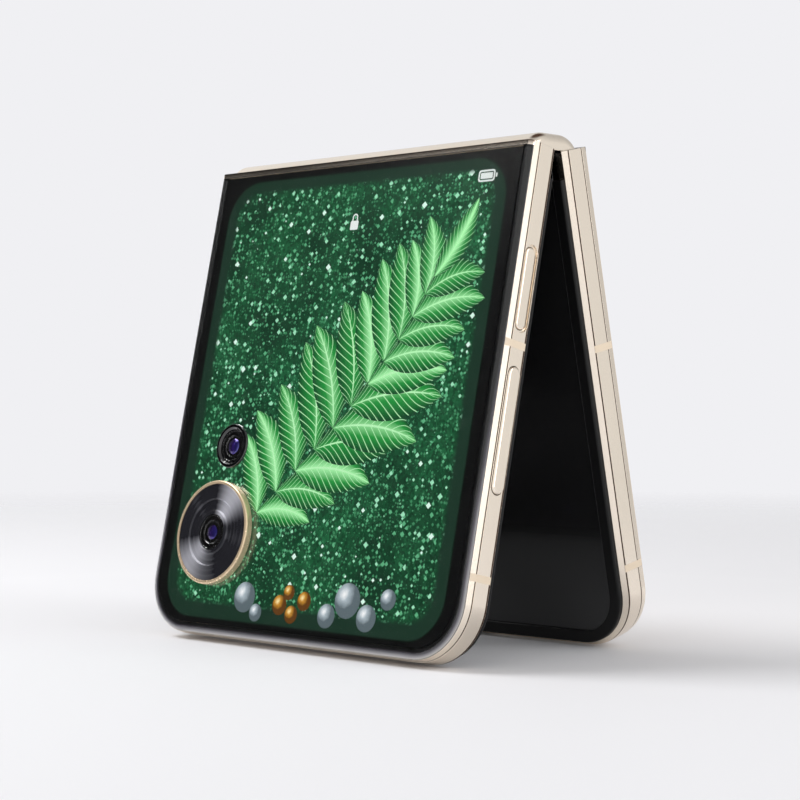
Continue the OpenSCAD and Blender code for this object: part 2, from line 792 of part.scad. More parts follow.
module main_lens_glass() {
    color([0.03, 0.03, 0.05]) front_half() turned(main_cam_x, main_cam_run, [
        [0, ring_top - 0.5], [lens_r, ring_top - 0.5], [lens_r, ring_top - 0.1],
        [lens_r - 0.15, ring_top - 0.02], [0, ring_top - 0.02]]);
}

module main_camera_module() {
    color([0.12, 0.12, 0.14]) front_half() {
        block([main_cam_x - main_box, main_cam_x + main_box], [web_end + fit_gap, half_depth - 1.6],
            [main_cam_run - main_box, main_cam_run + main_box]);
        post(main_cam_x, main_cam_run, lens_r, [half_depth - 1.7, ring_top - 0.52]);
    }
}

module wide_lens_trim() {
    color([0.08, 0.08, 0.09]) front_half() turned(wide_cam_x, wide_cam_run, [
        [wide_ring_r - 0.55, display_back], [wide_ring_r - 0.55, half_depth + 0.02],
        [wide_ring_r, half_depth + 0.02], [wide_ring_r - 0.15, half_depth + 0.45],
        [wide_ring_r - 0.6, half_depth + 0.5], [wide_ring_r - 1.1, half_depth + 0.2],
        [wide_ring_r - 1.1, display_back]]);
}

module wide_lens_glass() {
    color([0.03, 0.03, 0.05]) front_half()
        post(wide_cam_x, wide_cam_run, wide_ring_r - 1.15, [half_depth - 0.4, half_depth + 0.15]);
}

module wide_camera_module() {
    color([0.12, 0.12, 0.14]) front_half() {
        block([wide_cam_x - wide_box, wide_cam_x + wide_box], [web_end + fit_gap, half_depth - 1.6],
            [wide_cam_run - wide_box, wide_cam_run + wide_box]);
        post(wide_cam_x, wide_cam_run, wide_ring_r - 1.3, [half_depth - 1.7, half_depth - 0.45]);
    }
}

module selfie_camera() {
    color([0.08, 0.08, 0.1]) front_half() {
        post(0, selfie_run, selfie_r - 0.1, [display_drop + 0.05, web_end + 0.5]);
        block([-selfie_box, selfie_box], [web_end + fit_gap, web_end + 2.4],
            [selfie_run - selfie_box, selfie_run + selfie_box]);
    }
}

module earpiece() {
    color([0.15, 0.15, 0.16]) front_half() {
        block([-earpiece_x, earpiece_x], [metal_start + eps, web_end + fit_gap + eps], earpiece_run);
        block([-7, 7], [web_end + fit_gap, web_end + 2], [inner_run - 2.3, inner_run - 0.15]);
    }
}

board_depth = [web_end + fit_gap, web_end + fit_gap + 0.7];
board_screw_r = 0.7;
board_strip = 3.2;
board_run = [wide_cam_run - wide_box - 0.2 - board_strip, selfie_run - selfie_box - 0.65];
board_x = [main_cam_x + main_box + 2.8, inner_w - 2.4];
can_run = [board_run[0] + 4, board_run[1] - 4];
can_split = board_run[0] + 14;
can_h = 1.5;

module board_holes(r) {
    for (x = [board_x[0] + 2, board_x[1] - 2]) for (run = [board_run[0] + 2, board_run[1] - 2])
        post(x, run, r, [0, 6]);
}

module mainboard() {
    color([0.05, 0.25, 0.15]) front_half() difference() {
        union() {
            block(board_x, board_depth, board_run);
            block([-inner_w + 1, board_x[0] + eps], board_depth,
                [wide_cam_run + wide_box + 1.4, main_cam_run - main_box - 0.2]);
            block([-inner_w + 1, board_x[0] + eps], board_depth, [board_run[0], board_run[0] + board_strip]);
        }
        board_holes(board_screw_r + fit_gap);
    }
}

module shield_cans() {
    color([0.7, 0.71, 0.73]) front_half() {
        block([board_x[0] + 4.5, 8], [board_depth[1], board_depth[1] + can_h], can_run);
        block([10, board_x[1] - 4.5], [board_depth[1], board_depth[1] + can_h - 0.2],
            [can_run[0], can_split - 1]);
        block([10, board_x[1] - 4.5], [board_depth[1], board_depth[1] + can_h - 0.2],
            [can_split + 1, can_run[1]]);
    }
}

module board_screw(x, run) {
    post(x, run, board_screw_r, [web_end, board_depth[1] + fit_gap]);
    post(x, run, board_screw_r + 0.6, [board_depth[1] + eps, board_depth[1] + 0.5]);
}

module board_screws() {
    for (x = [board_x[0] + 2, board_x[1] - 2]) for (run = [board_run[0] + 2, board_run[1] - 2]) {
        board_screw(x, run);
    }
}

module front_board_screws() { color([0.75, 0.75, 0.77]) front_half() board_screws(); }

front_battery_run = [foot_run[1] + 2, board_run[0] - 1.5];
front_battery_half = inner_w - 4.9;
battery_low = flex_depth + 0.12;
battery_high = display_back - 0.2;
battery_tab = 0.8;

module front_battery() {
    color([0.1, 0.1, 0.11]) front_half() {
        block([-front_battery_half, front_battery_half], [battery_low, battery_high], front_battery_run);
        block([6, 20], [battery_low, battery_low + battery_tab],
            [front_battery_run[1] - eps, front_battery_run[1] + 1]);
    }
}

switch_x = inner_w - 0.65;

// Strip with the key switches, and the hinge flex's tail
module front_flex_cables() {
    color([0.75, 0.5, 0.15]) front_half() {
        block([switch_x - 0.75, switch_x - 0.5], [web_end + 0.1, shoulder_start],
            [power_run + 2, volume_run + volume_len - 1]);
        for (run = [power_run + power_len / 2, volume_run + 4, volume_run + volume_len - 4])
            bar(key_mid, run, 1.1, [switch_x - 0.51, switch_x]);
        flex_tail(board_run[0] - 0.02);
    }
}

module front_antenna_breaks() { color([0.85, 0.79, 0.7]) front_half() antenna_breaks(); }

magnet_x = inner_w - 8.9;
magnet_run = half_run - 5.6;
magnet_r = 1.8;

magnet_seat = web_end - 0.4;

module magnets() {
    for (x = [-1, 1]) post(x * magnet_x, magnet_run, magnet_r, [magnet_seat + eps, magnet_seat + 1.8]);
}

module magnet_seats() {
    for (x = [-1, 1]) post(x * magnet_x, magnet_run, magnet_r + fit_gap, [magnet_seat, big]);
}

module front_magnets() { color([0.6, 0.6, 0.62]) front_half() magnets(); }

// A key: its cap fills the slot in the frame, and wings behind the wall keep it in
module key(run, len, width, face_x, wings) {
    side_slot(run, len, width, [inner_w - 0.3, face_x]);
    block([inner_w - 0.3, inner_w - 0.05], [key_mid - width / 2 - 0.4, key_mid + width / 2 + 0.4], wings);
}

module power_key() {
    color([0.92, 0.85, 0.75]) front_half()
        key(power_run, power_len, power_w, half_w - 0.1, [power_run + 1.5, power_run + power_len - 1.5]);
}

// The volume key rocks about its middle, so its wings are short
module volume_key() {
    middle = volume_run + volume_len / 2;
    color([0.92, 0.85, 0.75]) front_half()
        key(volume_run, volume_len, volume_w, half_w + key_proud, [middle - 1.5, middle + 1.5]);
}

// Rear half

port_mid = key_mid;
tray_mid = key_mid;
tray_w = 1.6;
tray_mid_run = tray_run + tray_len / 2;
blade_t = 1;
blade_w = 11.4;
reader_run = [tray_mid_run - blade_w / 2 - 0.5, tray_mid_run + blade_w / 2 + 0.5];
mic_x = -9;
port_mouth = half_run - 0.3;
port_back = port_mouth - 7.4;
speaker_step = 2;

module port_shape(w, h, run) {
    r = h / 2;
    for (x = [-1, 1]) translate([x * (w / 2 - r), port_mid, run[0]])
        cylinder(h = run[1] - run[0], r = r, $fn = 128);
    block([r - w / 2, w / 2 - r], [port_mid - r, port_mid + r], run);
}

module rear_frame() {
    color([0.9, 0.83, 0.72]) rear_half() difference() {
        union() {
            frame_body();
            for (side = [-1, 1]) rear_unit(side) arm_pad();
        }
        for (side = [-1, 1]) rear_unit(side) arm_seat();
        flex_slot();
        antenna_breaks(eps);
        port_shape(port_w, port_h, [inner_run - 1, big]);
        for (k = [0:5]) translate([sub_x[1] - speaker_step * k, port_mid, inner_run - 1])
            cylinder(h = 4, r = 0.55);
        translate([mic_x, port_mid, inner_run - 1]) cylinder(h = 4, r = 0.4);
        // Slot of the card tray
        mirror([1, 0, 0]) side_slot(tray_run - fit_gap, tray_len + 2 * fit_gap, tray_w + 2 * fit_gap,
            [inner_w - 1, half_w + 1]);
        magnet_seats();
    }
}

module rear_hinge_arm_left() { color([0.5, 0.5, 0.53]) rear_half() rear_unit(-1) hinge_arm(arm_step / 2); }
module rear_hinge_arm_right() { color([0.5, 0.5, 0.53]) rear_half() rear_unit(1) hinge_arm(arm_step / 2); }

module rear_arm_screws() {
    color([0.3, 0.3, 0.32]) rear_half() for (side = [-1, 1]) rear_unit(side) arm_screws();
}

module back_cover() { color([0.88, 0.8, 0.7]) rear_half() outer_panel(); }
module heat_spreader() { color([0.2, 0.2, 0.21]) rear_half() panel_sheet(cover_display_t - 0.02); }
module rear_inner_display() { color([0.06, 0.06, 0.07]) rear_half() inner_display(); }
module rear_support_plate() { color([0.6, 0.6, 0.62]) rear_half() support_plate(); }
module rear_bezel() { color([0.04, 0.04, 0.05]) rear_half() bezel(); }

rear_battery_run = [foot_run[1] + 2, reader_run[0] - 1.8];
rear_battery_half = inner_w - 2.9;

module rear_battery() {
    color([0.1, 0.1, 0.11]) rear_half() {
        block([-rear_battery_half, rear_battery_half], [battery_low, battery_high], rear_battery_run);
        block([14, 28], [battery_low, battery_low + battery_tab],
            [rear_battery_run[1] - eps, rear_battery_run[1] + 2]);
    }
}

sub_run = [reader_run[1] + 1.3, port_back - 1.95];
sub_x = [15.9 - inner_w, inner_w - 15.9];
tail_run = rear_battery_run[1] + 2.3;

// Board with the port, on a thin tail that runs under the battery to the hinge
module sub_board() {
    color([0.05, 0.25, 0.15]) rear_half() difference() {
        union() {
            block(sub_x, board_depth, sub_run);
            block([-7, 12], board_depth, [tail_run, sub_run[0] + eps]);
            flex_tail(tail_run + eps);
        }
        for (x = [sub_x[0] + 2, sub_x[1] - 2]) post(x, sub_run[0] + 2, board_screw_r + fit_gap, [0, 6]);
    }
}

module rear_board_screws() {
    color([0.75, 0.75, 0.77]) rear_half() for (x = [sub_x[0] + 2, sub_x[1] - 2]) {
        board_screw(x, sub_run[0] + 2);
    }
}

// Charging port: a rounded shell, a closed back and a tongue in the middle
module usb_port() {
    wall = 0.3;
    color([0.72, 0.72, 0.74]) rear_half() {
        difference() {
            port_shape(port_w - 0.1, port_h - 0.1, [port_back, port_mouth]);
            port_shape(port_w - 0.1 - 2 * wall, port_h - 0.1 - 2 * wall, [port_back + 1, port_mouth + 1]);
        }
        block([-3.35, 3.35], [port_mid - 0.35, port_mid + 0.35], [port_back + 0.9, port_mouth - 1]);
        block([-2.5, 2.5], [board_depth[1], port_mid + 0.3], [sub_run[1] - 1.5, port_back + 0.1]);
    }
}

module loudspeaker() {
    color([0.13, 0.13, 0.14]) rear_half() {
        block([sub_x[1] - 11.5, sub_x[1] + 2], [web_end + fit_gap, display_back - 0.3],
            [sub_run[1] + 1.2, inner_run - 0.1]);
        block([sub_x[1] + 1, sub_x[1] + 4.5], [web_end + fit_gap, display_back - 0.3],
            [sub_run[0] + 1, inner_run - 4.5]);
    }
}

motor_r = 1.9;
motor_run = sub_run[1] - 3;
motor_x = [3.9 - inner_w, 13.9 - inner_w];

module vibration_motor() {
    color([0.65, 0.65, 0.67]) rear_half() {
        bar(web_end + 2.05, motor_run, motor_r, motor_x);
        block(motor_x, [web_end + fit_gap, web_end + 1],
            [motor_run - motor_r + 0.1, motor_run + motor_r - 0.1]);
    }
}

// Sleeve of the card reader, open towards the side wall
module card_reader() {
    color([0.7, 0.71, 0.73]) rear_half() difference() {
        block([0.05 - inner_w, tray_reach - half_w + 1.3], [web_end + fit_gap, tray_mid + blade_t / 2 + 0.4],
            reader_run);
        block([-big, tray_reach - half_w + 0.5], [tray_mid - blade_t / 2 - 0.1, tray_mid + blade_t / 2 + 0.1],
            [tray_mid_run - blade_w / 2 - 0.1, tray_mid_run + blade_w / 2 + 0.1]);
    }
}

card = [12.3, 0.67, 8.8];

// Place of the card in the blade of the tray, with a gap all round
module card_space(gap) {
    block([tray_reach - half_w - 1 - card[0] - gap, tray_reach - half_w - 1 + gap],
        [tray_mid - blade_t / 2 - eps, tray_mid - blade_t / 2 + card[1] + gap],
        [tray_mid_run - card[2] / 2 - gap, tray_mid_run + card[2] / 2 + gap]);
}

module card_tray() {
    color([0.92, 0.85, 0.75]) rear_half() difference() {
        union() {
            mirror([1, 0, 0]) side_slot(tray_run, tray_len, tray_w, [inner_w + 0.3, half_w]);
            block([-inner_w - 0.4, tray_reach - half_w], [tray_mid - blade_t / 2, tray_mid + blade_t / 2],
                [tray_mid_run - blade_w / 2, tray_mid_run + blade_w / 2]);
        }
        card_space(0.05);
        bar(tray_mid, tray_run + 1.1, 0.4, [-half_w - 1, -half_w + 1.2]);
    }
}

module sim_card() {
    color([0.85, 0.85, 0.8]) rear_half() card_space(0);
}

module rear_antenna_breaks() { color([0.85, 0.79, 0.7]) rear_half() antenna_breaks(); }
module rear_magnets() { color([0.6, 0.6, 0.62]) rear_half() magnets(); }

spine_cover();
hinge_base_left();
hinge_base_right();
hinge_pins();
detent_sliders();
detent_springs();
fold_film();
hinge_flex();
timing_gear_front_left();
timing_gear_rear_left();
timing_gear_front_right();
timing_gear_rear_right();
front_frame();
front_hinge_arm_left();
front_hinge_arm_right();
front_arm_screws();
cover_glass();
cover_display();
front_inner_display();
front_support_plate();
front_bezel();
camera_ring();
camera_disc();
main_lens_glass();
main_camera_module();
wide_lens_trim();
wide_lens_glass();
wide_camera_module();
selfie_camera();
earpiece();
mainboard();
shield_cans();
front_battery();
front_flex_cables();
front_antenna_breaks();
front_board_screws();
front_magnets();
power_key();
volume_key();
rear_frame();
rear_hinge_arm_left();
rear_hinge_arm_right();
rear_arm_screws();
back_cover();
heat_spreader();
rear_inner_display();
rear_support_plate();
rear_bezel();
rear_battery();
sub_board();
usb_port();
loudspeaker();
vibration_motor();
card_reader();
rear_antenna_breaks();
rear_board_screws();
rear_magnets();
card_tray();
sim_card();
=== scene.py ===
import math
import bmesh
import bpy
import numpy as np
from mathutils import Matrix, Vector
from mathutils.geometry import delaunay_2d_cdt


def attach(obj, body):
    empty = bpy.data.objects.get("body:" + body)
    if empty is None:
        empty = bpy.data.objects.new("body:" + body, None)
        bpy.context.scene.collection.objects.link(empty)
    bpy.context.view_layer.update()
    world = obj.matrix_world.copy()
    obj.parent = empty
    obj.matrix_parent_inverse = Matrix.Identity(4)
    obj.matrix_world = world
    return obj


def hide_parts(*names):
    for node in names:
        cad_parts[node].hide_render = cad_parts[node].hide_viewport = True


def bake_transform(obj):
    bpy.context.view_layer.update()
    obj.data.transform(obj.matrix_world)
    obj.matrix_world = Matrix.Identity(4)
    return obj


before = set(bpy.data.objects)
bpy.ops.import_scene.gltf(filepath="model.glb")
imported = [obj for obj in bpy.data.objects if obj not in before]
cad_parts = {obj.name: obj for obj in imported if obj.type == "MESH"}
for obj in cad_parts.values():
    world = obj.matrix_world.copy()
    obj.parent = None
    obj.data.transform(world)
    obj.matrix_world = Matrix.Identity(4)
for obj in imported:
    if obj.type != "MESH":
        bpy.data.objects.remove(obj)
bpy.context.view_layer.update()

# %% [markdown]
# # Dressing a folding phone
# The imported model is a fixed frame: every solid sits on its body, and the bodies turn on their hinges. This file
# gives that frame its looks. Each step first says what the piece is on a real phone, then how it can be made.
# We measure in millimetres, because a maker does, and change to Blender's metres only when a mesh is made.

# %% [markdown]
# ## Where things are
# Each half of the phone has its own three directions: across the phone, the depth from the inner face to the
# outer face, and the run from the hinge to the free end. Working in these directions, one recipe serves both
# halves. A place is a small function that turns such points, and the normals that go with them, into the frame.

# %% Places: the front half, the rear half and the spine
TILT = math.radians(12.4)
AXIS = 1.925
AXIS_DEPTH = 1.625
AXIS_HEIGHT = 79.796
CENTRE_SHIFT = 0.15
HALF_WIDTH = 37.8
HALF_RUN = 83.65
DEPTH = 7.15
CORNER = 9.8


def half_axes(side):
    """The turn and the move of a half. side is -1 for the front half, which leans to -Y, and 1 for the rear.
    The depth and the run turn together by the tilt, and the axis itself stays where the hinge has it."""
    c, k = math.cos(TILT), math.sin(TILT)
    turn = np.array([[1, 0, 0], [0, side * c, side * k], [0, k, -c]])
    move = np.array([-CENTRE_SHIFT, side * (AXIS - AXIS_DEPTH * c - AXIS * k),
                     AXIS_HEIGHT - AXIS_DEPTH * k + AXIS * c])
    return turn, move


def half_place(side):
    """Hang a half from its hinge axis: frame = turn x own + move, and the normals only turn."""
    turn, move = half_axes(side)
    return lambda points, normals: ((points @ turn.T + move) / 1000, normals @ turn.T)


def spine_place(points, normals):
    """The spine is drawn about the middle of its two axes, so it is only lifted and shifted."""
    return (points + [-CENTRE_SHIFT, 0, AXIS_HEIGHT]) / 1000, normals


FRONT, REAR = half_place(-1), half_place(1)
print("top middle of the front glass:", FRONT(np.array([[0, DEPTH, 0.9]]), np.zeros((1, 3)))[0])

# %% [markdown]
# ## From arrays to a mesh
# Every new piece is made of patches: grids of points that a formula gives, each point with its own exact normal.
# A shell collects them. It joins points that share a place, so seams and poles are closed, drops faces that have
# shrunk to a line, and turns each face so that it agrees with its normals. With exact normals a thin rounded edge
# catches the light as real metal does, even with few faces.

# %% The shell


class Shell:
    def __init__(self, place):
        self.place, self.patches = place, []

    def add(self, points, normals, faces, uv=None, tone=0.0, slot=0):
        """Keep one patch: points and normals in millimetres, faces as rows of four, with -1 for no fourth."""
        count = len(points)
        uv = np.zeros((count, 2)) if uv is None else uv
        self.patches.append((points, normals, faces, uv, np.broadcast_to(tone, count), np.full(len(faces), slot)))

    def grid(self, points, normals, uv=None, tone=0.0, slot=0, closed=(False, False), skip=()):
        """Join a grid of points into quads. closed wraps the rows or the columns round; skip leaves out rows."""
        rows, cols = points.shape[:2]
        i = np.arange(rows if closed[0] else rows - 1)
        i = i[~np.isin(i, skip)]
        j = np.arange(cols if closed[1] else cols - 1)
        i, j = np.meshgrid(i, j, indexing="ij")
        a, b = i * cols + j, ((i + 1) % rows) * cols + j
        c, d = ((i + 1) % rows) * cols + (j + 1) % cols, i * cols + (j + 1) % cols
        faces = np.stack([a, b, c, d], -1).reshape(-1, 4)
        flat = None if uv is None else uv.reshape(-1, 2)
        tones = np.broadcast_to(tone, (rows, cols)).reshape(-1)
        self.add(points.reshape(-1, 3), normals.reshape(-1, 3), faces, flat, tones, slot)

    def joined(self):
        """Put the patches one after another, with their faces counted on."""
        starts = np.cumsum([0] + [len(p[0]) for p in self.patches])
        faces = np.concatenate([np.where(p[2] < 0, -1, p[2] + s) for p, s in zip(self.patches, starts)])
        points, normals, uv, tone, slot = (np.concatenate([p[k] for p in self.patches]) for k in (0, 1, 3, 4, 5))
        return points, normals, faces, uv, tone, slot

    def make(self, name, materials, body=None, replaces=()):
        """Weld, clean, turn and write the mesh, then seat the piece on its body."""
        points, normals, faces, uv, tone, slot = self.joined()
        place, weld = np.unique(np.round(points, 4), axis=0, return_inverse=True)
        weld = weld.reshape(-1)
        faces, slot = clean_faces(faces, weld, slot)
        spot, lean = self.place(place, np.zeros_like(place))[0], self.place(points, normals)[1]
        faces = face_outwards(faces, weld, spot, lean)
        mesh = bpy.data.meshes.new(name)
        used = [f[f >= 0] for f in faces]
        mesh.from_pydata(spot.tolist(), [], [weld[f].tolist() for f in used])
        corners = np.concatenate(used)
        mesh.polygons.foreach_set("use_smooth", np.ones(len(used), bool))
        mesh.polygons.foreach_set("material_index", slot.astype(np.int32))
        mesh.uv_layers.new(name="UVMap").data.foreach_set("uv", uv[corners].astype(np.float32).ravel())
        tones = np.zeros(len(place), np.float32)
        tones[weld] = tone
        mesh.attributes.new("tone", "FLOAT", "POINT").data.foreach_set("value", tones)
        size = np.linalg.norm(lean, axis=1, keepdims=True)
        mesh.normals_split_custom_set((lean / np.where(size > 0, size, 1))[corners].tolist())
        for material in materials if isinstance(materials, (list, tuple)) else [materials]:
            mesh.materials.append(material)
        piece = bpy.data.objects.new(name, mesh)
        bpy.context.scene.collection.objects.link(piece)
        if replaces:
            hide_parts(*replaces)
        if body:
            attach(piece, body)
        print(f"{name}: {len(place)} points, {len(used)} faces")
        return piece


def clean_faces(faces, weld, slot):
    """Compare each corner with the next after welding: one equal pair makes a triangle, more make nothing."""
    three = faces[:, 3] < 0
    seat = np.where(faces < 0, -1, weld[faces])
    seat[three, 3] = -2
    same = seat == np.roll(seat, -1, axis=1)
    same[three, 2] = seat[three, 2] == seat[three, 0]
    quads = ~three & (same.sum(1) == 0)
    kept, kinds = [faces[quads]], [slot[quads]]
    good = three & (same.sum(1) == 0)
    kept.append(faces[good])
    kinds.append(slot[good])
    for k in range(4):
        one = ~three & (same.sum(1) == 1) & same[:, k]
        left = np.delete(faces[one], k, axis=1)
        kept.append(np.column_stack([left, np.full(len(left), -1)]))
        kinds.append(slot[one])
    return np.concatenate(kept), np.concatenate(kinds)


def face_outwards(faces, weld, spot, lean):
    """Turn round each face whose own normal, from its two diagonals, points against its stored normals."""
    three = faces[:, 3] < 0
    last = np.where(three, faces[:, 0], faces[:, 3])
    a, b, c, d = (spot[weld[k]] for k in (faces[:, 0], faces[:, 1], faces[:, 2], last))
    own = np.cross(c - a, d - b)
    asked = lean[faces[:, 0]] + lean[faces[:, 1]] + lean[faces[:, 2]]
    wrong = (own * asked).sum(1) < 0
    flipped = faces.copy()
    flipped[wrong, 0], flipped[wrong, 2] = faces[wrong, 2], faces[wrong, 0]
    return flipped


# %% [markdown]
# ## Lines, arcs and outlines
# A metal frame is a profile carried along an outline, as a router cuts it. So we need two drawings: the profile,
# a line of corners with small radii, and the track that it follows. rounded() draws the first. A track knows, at
# each step, its place, the way inward and the way along, and it may end in a tiny rounding of its own.

# %% Drawing tools


def rounded(corners, radii, side=1, steps=4, closed=False):
    """Replace each corner by an arc that touches both of its sides, tangent length = radius x tan(half the turn).
    The normal is the direction of travel turned a quarter turn to the left (side 1) or the right (side -1)."""
    corners = np.array(corners, float)
    count = len(corners)
    way = np.roll(corners, -1, 0) - corners
    way /= np.linalg.norm(way, axis=1, keepdims=True)
    left = np.column_stack([-way[:, 1], way[:, 0]])
    points, normals = [], []
    for i in range(count):
        if not closed and i in (0, count - 1):
            points.append(corners[i])
            normals.append(left[0 if i == 0 else i - 1])
            continue
        a, b, m = way[i - 1], way[i], left[i - 1]
        turn = math.atan2(a[0] * b[1] - a[1] * b[0], a @ b)
        back = radii[i] * math.tan(abs(turn) / 2)
        centre = corners[i] - a * back + math.copysign(radii[i], turn) * m
        for angle in np.linspace(0, turn, steps + 1 if radii[i] else 2):
            c, k = math.cos(angle), math.sin(angle)
            n = np.array([m[0] * c - m[1] * k, m[0] * k + m[1] * c])
            points.append(centre - math.copysign(radii[i], turn) * n)
            normals.append(n)
    return np.array(points), side * np.array(normals)


def track(line, inward, along, ends=(0, 0), steps=4):
    """A path of places with the way in and the way along. Each end may be rounded by a small radius: there the
    profile draws in by radius x (1 - sin) while it moves back by radius x (1 - cos), and its normal leans out."""
    rows = [(p, i, t, 0.0, 0.0) for p, i, t in zip(line, inward, along)]
    first, last = rows[0], rows[-1]
    for which, radius in enumerate(ends):
        if not radius:
            continue
        p, i, t = (first if which == 0 else last)[:3]
        sign = -1 if which == 0 else 1
        turns = np.linspace(0, math.pi / 2, steps + 1)
        cap = [(p - sign * t * radius * (1 - math.cos(a)), i, t, radius * (1 - math.sin(a)), sign * math.cos(a))
               for a in turns]
        rows = cap + rows[1:] if which == 0 else rows[:-1] + cap[::-1]
    return [np.array(column, float) for column in zip(*rows)]


def half_track(start, end_radius=0.06, steps=20):
    """The outline of a half: down one side, round a corner, along the free end, round, and up again."""
    turn = np.linspace(0, math.pi / 2, steps + 1)
    line, inward, along = [[HALF_WIDTH, start]], [[-1, 0]], [[0, 1]]
    for sign, angles in ((1, turn), (-1, turn + math.pi / 2)):
        for a in angles:
            c, k = math.cos(a), math.sin(a)
            line.append([sign * (HALF_WIDTH - CORNER) + CORNER * c, HALF_RUN - CORNER + CORNER * k])
            inward.append([-c, -k])
            along.append([-k, c])
    line.append([-HALF_WIDTH, start])
    inward.append([1, 0])
    along.append([0, -1])
    return track(np.array(line), np.array(inward), np.array(along), (end_radius, end_radius))


def straight_track(run, at=0.0, inward=1.0, end_radius=0.06):
    """A straight path along the run of a half, from one place to another."""
    line = np.array([[at, run[0]], [at, run[1]]], float)
    return track(line, np.array([[inward, 0.0]] * 2), np.array([[0, 1.0]] * 2), (end_radius, end_radius))


def stadium_track(middle, half_length, radius, steps=16):
    """A closed outline with round ends, about a middle, long in the second direction."""
    turn = np.linspace(0, math.pi, steps + 1)
    angle = np.concatenate([turn, turn + math.pi])
    out = np.column_stack([np.cos(angle), np.sin(angle)])
    shift = np.where(np.arange(len(angle)) <= steps, half_length, -half_length)
    line = np.array(middle) + radius * out + np.column_stack([np.zeros_like(shift), shift])
    along = np.column_stack([-out[:, 1], out[:, 0]])
    zero = np.zeros(len(angle))
    return [line, -out, along, zero, zero]


def sweep(path, profile, normals, order=(0, 1, 2)):
    """Carry a profile of (inset, height) along a track: point = place + inset x inward, at that height.
    order says which direction of the half the track's first direction, the height and the second one are."""
    line, inward, along, shrink, lean = path
    inset = profile[None, :, 0] - shrink[:, None] * normals[None, :, 0]
    height = profile[None, :, 1] - shrink[:, None] * normals[None, :, 1]
    face = np.sqrt(1 - lean ** 2)[:, None]
    points, out = np.empty((*inset.shape, 3)), np.empty((*inset.shape, 3))
    for k, at in ((0, order[0]), (1, order[2])):
        points[..., at] = line[:, None, k] + inset * inward[:, None, k]
        out[..., at] = face * normals[None, :, 0] * inward[:, None, k] + lean[:, None] * along[:, None, k]
    points[..., order[1]] = height
    out[..., order[1]] = face * normals[None, :, 1]
    return points, out


def inside(points, loop):
    """Even-odd rule: a point is inside if a ray from it crosses the loop an odd number of times."""
    a, b = loop, np.roll(loop, -1, 0)
    x, y = points[:, None, 0], points[:, None, 1]
    rise = np.where(b[:, 1] == a[:, 1], 1e-12, b[:, 1] - a[:, 1])
    crosses = ((a[:, 1] > y) != (b[:, 1] > y)) & (x < a[:, 0] + (y - a[:, 1]) / rise * (b[:, 0] - a[:, 0]))
    return crosses.sum(1) % 2 == 1


def flat_fill(outline, holes=()):
    """Triangles that fill a flat outline round its holes, with no point added along the edges."""
    loops = [np.asarray(loop, float) for loop in (outline, *holes)]
    loops = [loop[np.linalg.norm(loop - np.roll(loop, 1, 0), axis=1) > 1e-5] for loop in loops]
    edges, start = [], 0
    for loop in loops:
        i = np.arange(len(loop))
        edges += np.column_stack([start + i, start + (i + 1) % len(loop)]).tolist()
        start += len(loop)
    every = np.concatenate(loops)
    found = delaunay_2d_cdt([Vector(p) for p in every], edges, [], 0, 1e-7)
    points = np.array([every[old[0]] if old else v[:] for v, old in zip(found[0], found[3])])
    faces = np.array(found[2])
    middle = points[faces].mean(1)
    keep = inside(middle, loops[0])
    for hole in loops[1:]:
        keep &= ~inside(middle, hole)
    return points, np.column_stack([faces[keep], np.full(keep.sum(), -1)])


def fill(shell, outline, holes, height, normal, order=(0, 1, 2), **extra):
    """Add a flat face at a height, with one normal all over it."""
    flat, faces = flat_fill(outline, holes)
    points = np.empty((len(flat), 3))
    points[:, order[0]], points[:, order[2]], points[:, order[1]] = flat[:, 0], flat[:, 1], height
    uv = np.column_stack([points[:, 0], points[:, 2]]) / 100
    shell.add(points, np.broadcast_to(np.array(normal, float), points.shape), faces, uv=uv, **extra)


def circle(middle, radius, steps=96):
    """A closed ring of points about a middle."""
    angle = np.arange(steps) * 2 * math.pi / steps
    return np.array(middle) + radius * np.column_stack([np.cos(angle), np.sin(angle)])


def lathe(shell, middle, profile, normals, steps=128, closed=False, **extra):
    """Turn a profile of (radius, depth) about an axis along the depth of a half. The map's first direction goes
    round and its second goes outward, so that a brushed finish can follow the turning marks."""
    angle = np.arange(steps + 1) * 2 * math.pi / steps
    c, k = np.cos(angle)[:, None], np.sin(angle)[:, None]
    zero = np.zeros_like(c)
    points = np.stack([middle[0] + profile[:, 0] * c, profile[:, 1] + zero, middle[1] + profile[:, 0] * k], -1)
    out = np.stack([normals[:, 0] * c, normals[:, 1] + zero, normals[:, 0] * k], -1)
    uv = np.stack([angle[:, None] / (2 * math.pi) + 0 * profile[:, 0], profile[:, 0] / 10 + zero], -1)
    shell.grid(points, out, uv=uv, closed=(False, closed), **extra)


print("tools are ready")

# %% [markdown]
# ## Finishes
# A finish is a colour that varies a little, a roughness that varies with it, and sometimes a fine relief. The
# grain group makes those three from noise in the object's own coordinates, so it stays still when a piece moves.
# Numbers that don't vary, such as how metallic a finish is, are set on the shader itself.

# %% Colour, material and group helpers


def paint(red, green, blue):
    """An sRGB colour of 0 to 255 as the linear colour that Blender mixes."""
    c = np.array([red, green, blue]) / 255
    return (*np.where(c <= 0.04045, c / 12.92, ((c + 0.055) / 1.055) ** 2.4), 1.0)


def node(tree, kind, values=None, **settings):
    """Add one node, with its settings and the values of its input sockets."""
    made = tree.nodes.new("ShaderNode" + kind)
    for key, value in settings.items():
        setattr(made, key, value)
    for key, value in (values or {}).items():
        if isinstance(value, bpy.types.NodeSocket):
            tree.links.new(value, made.inputs[key])
        else:
            made.inputs[key].default_value = value
    return made


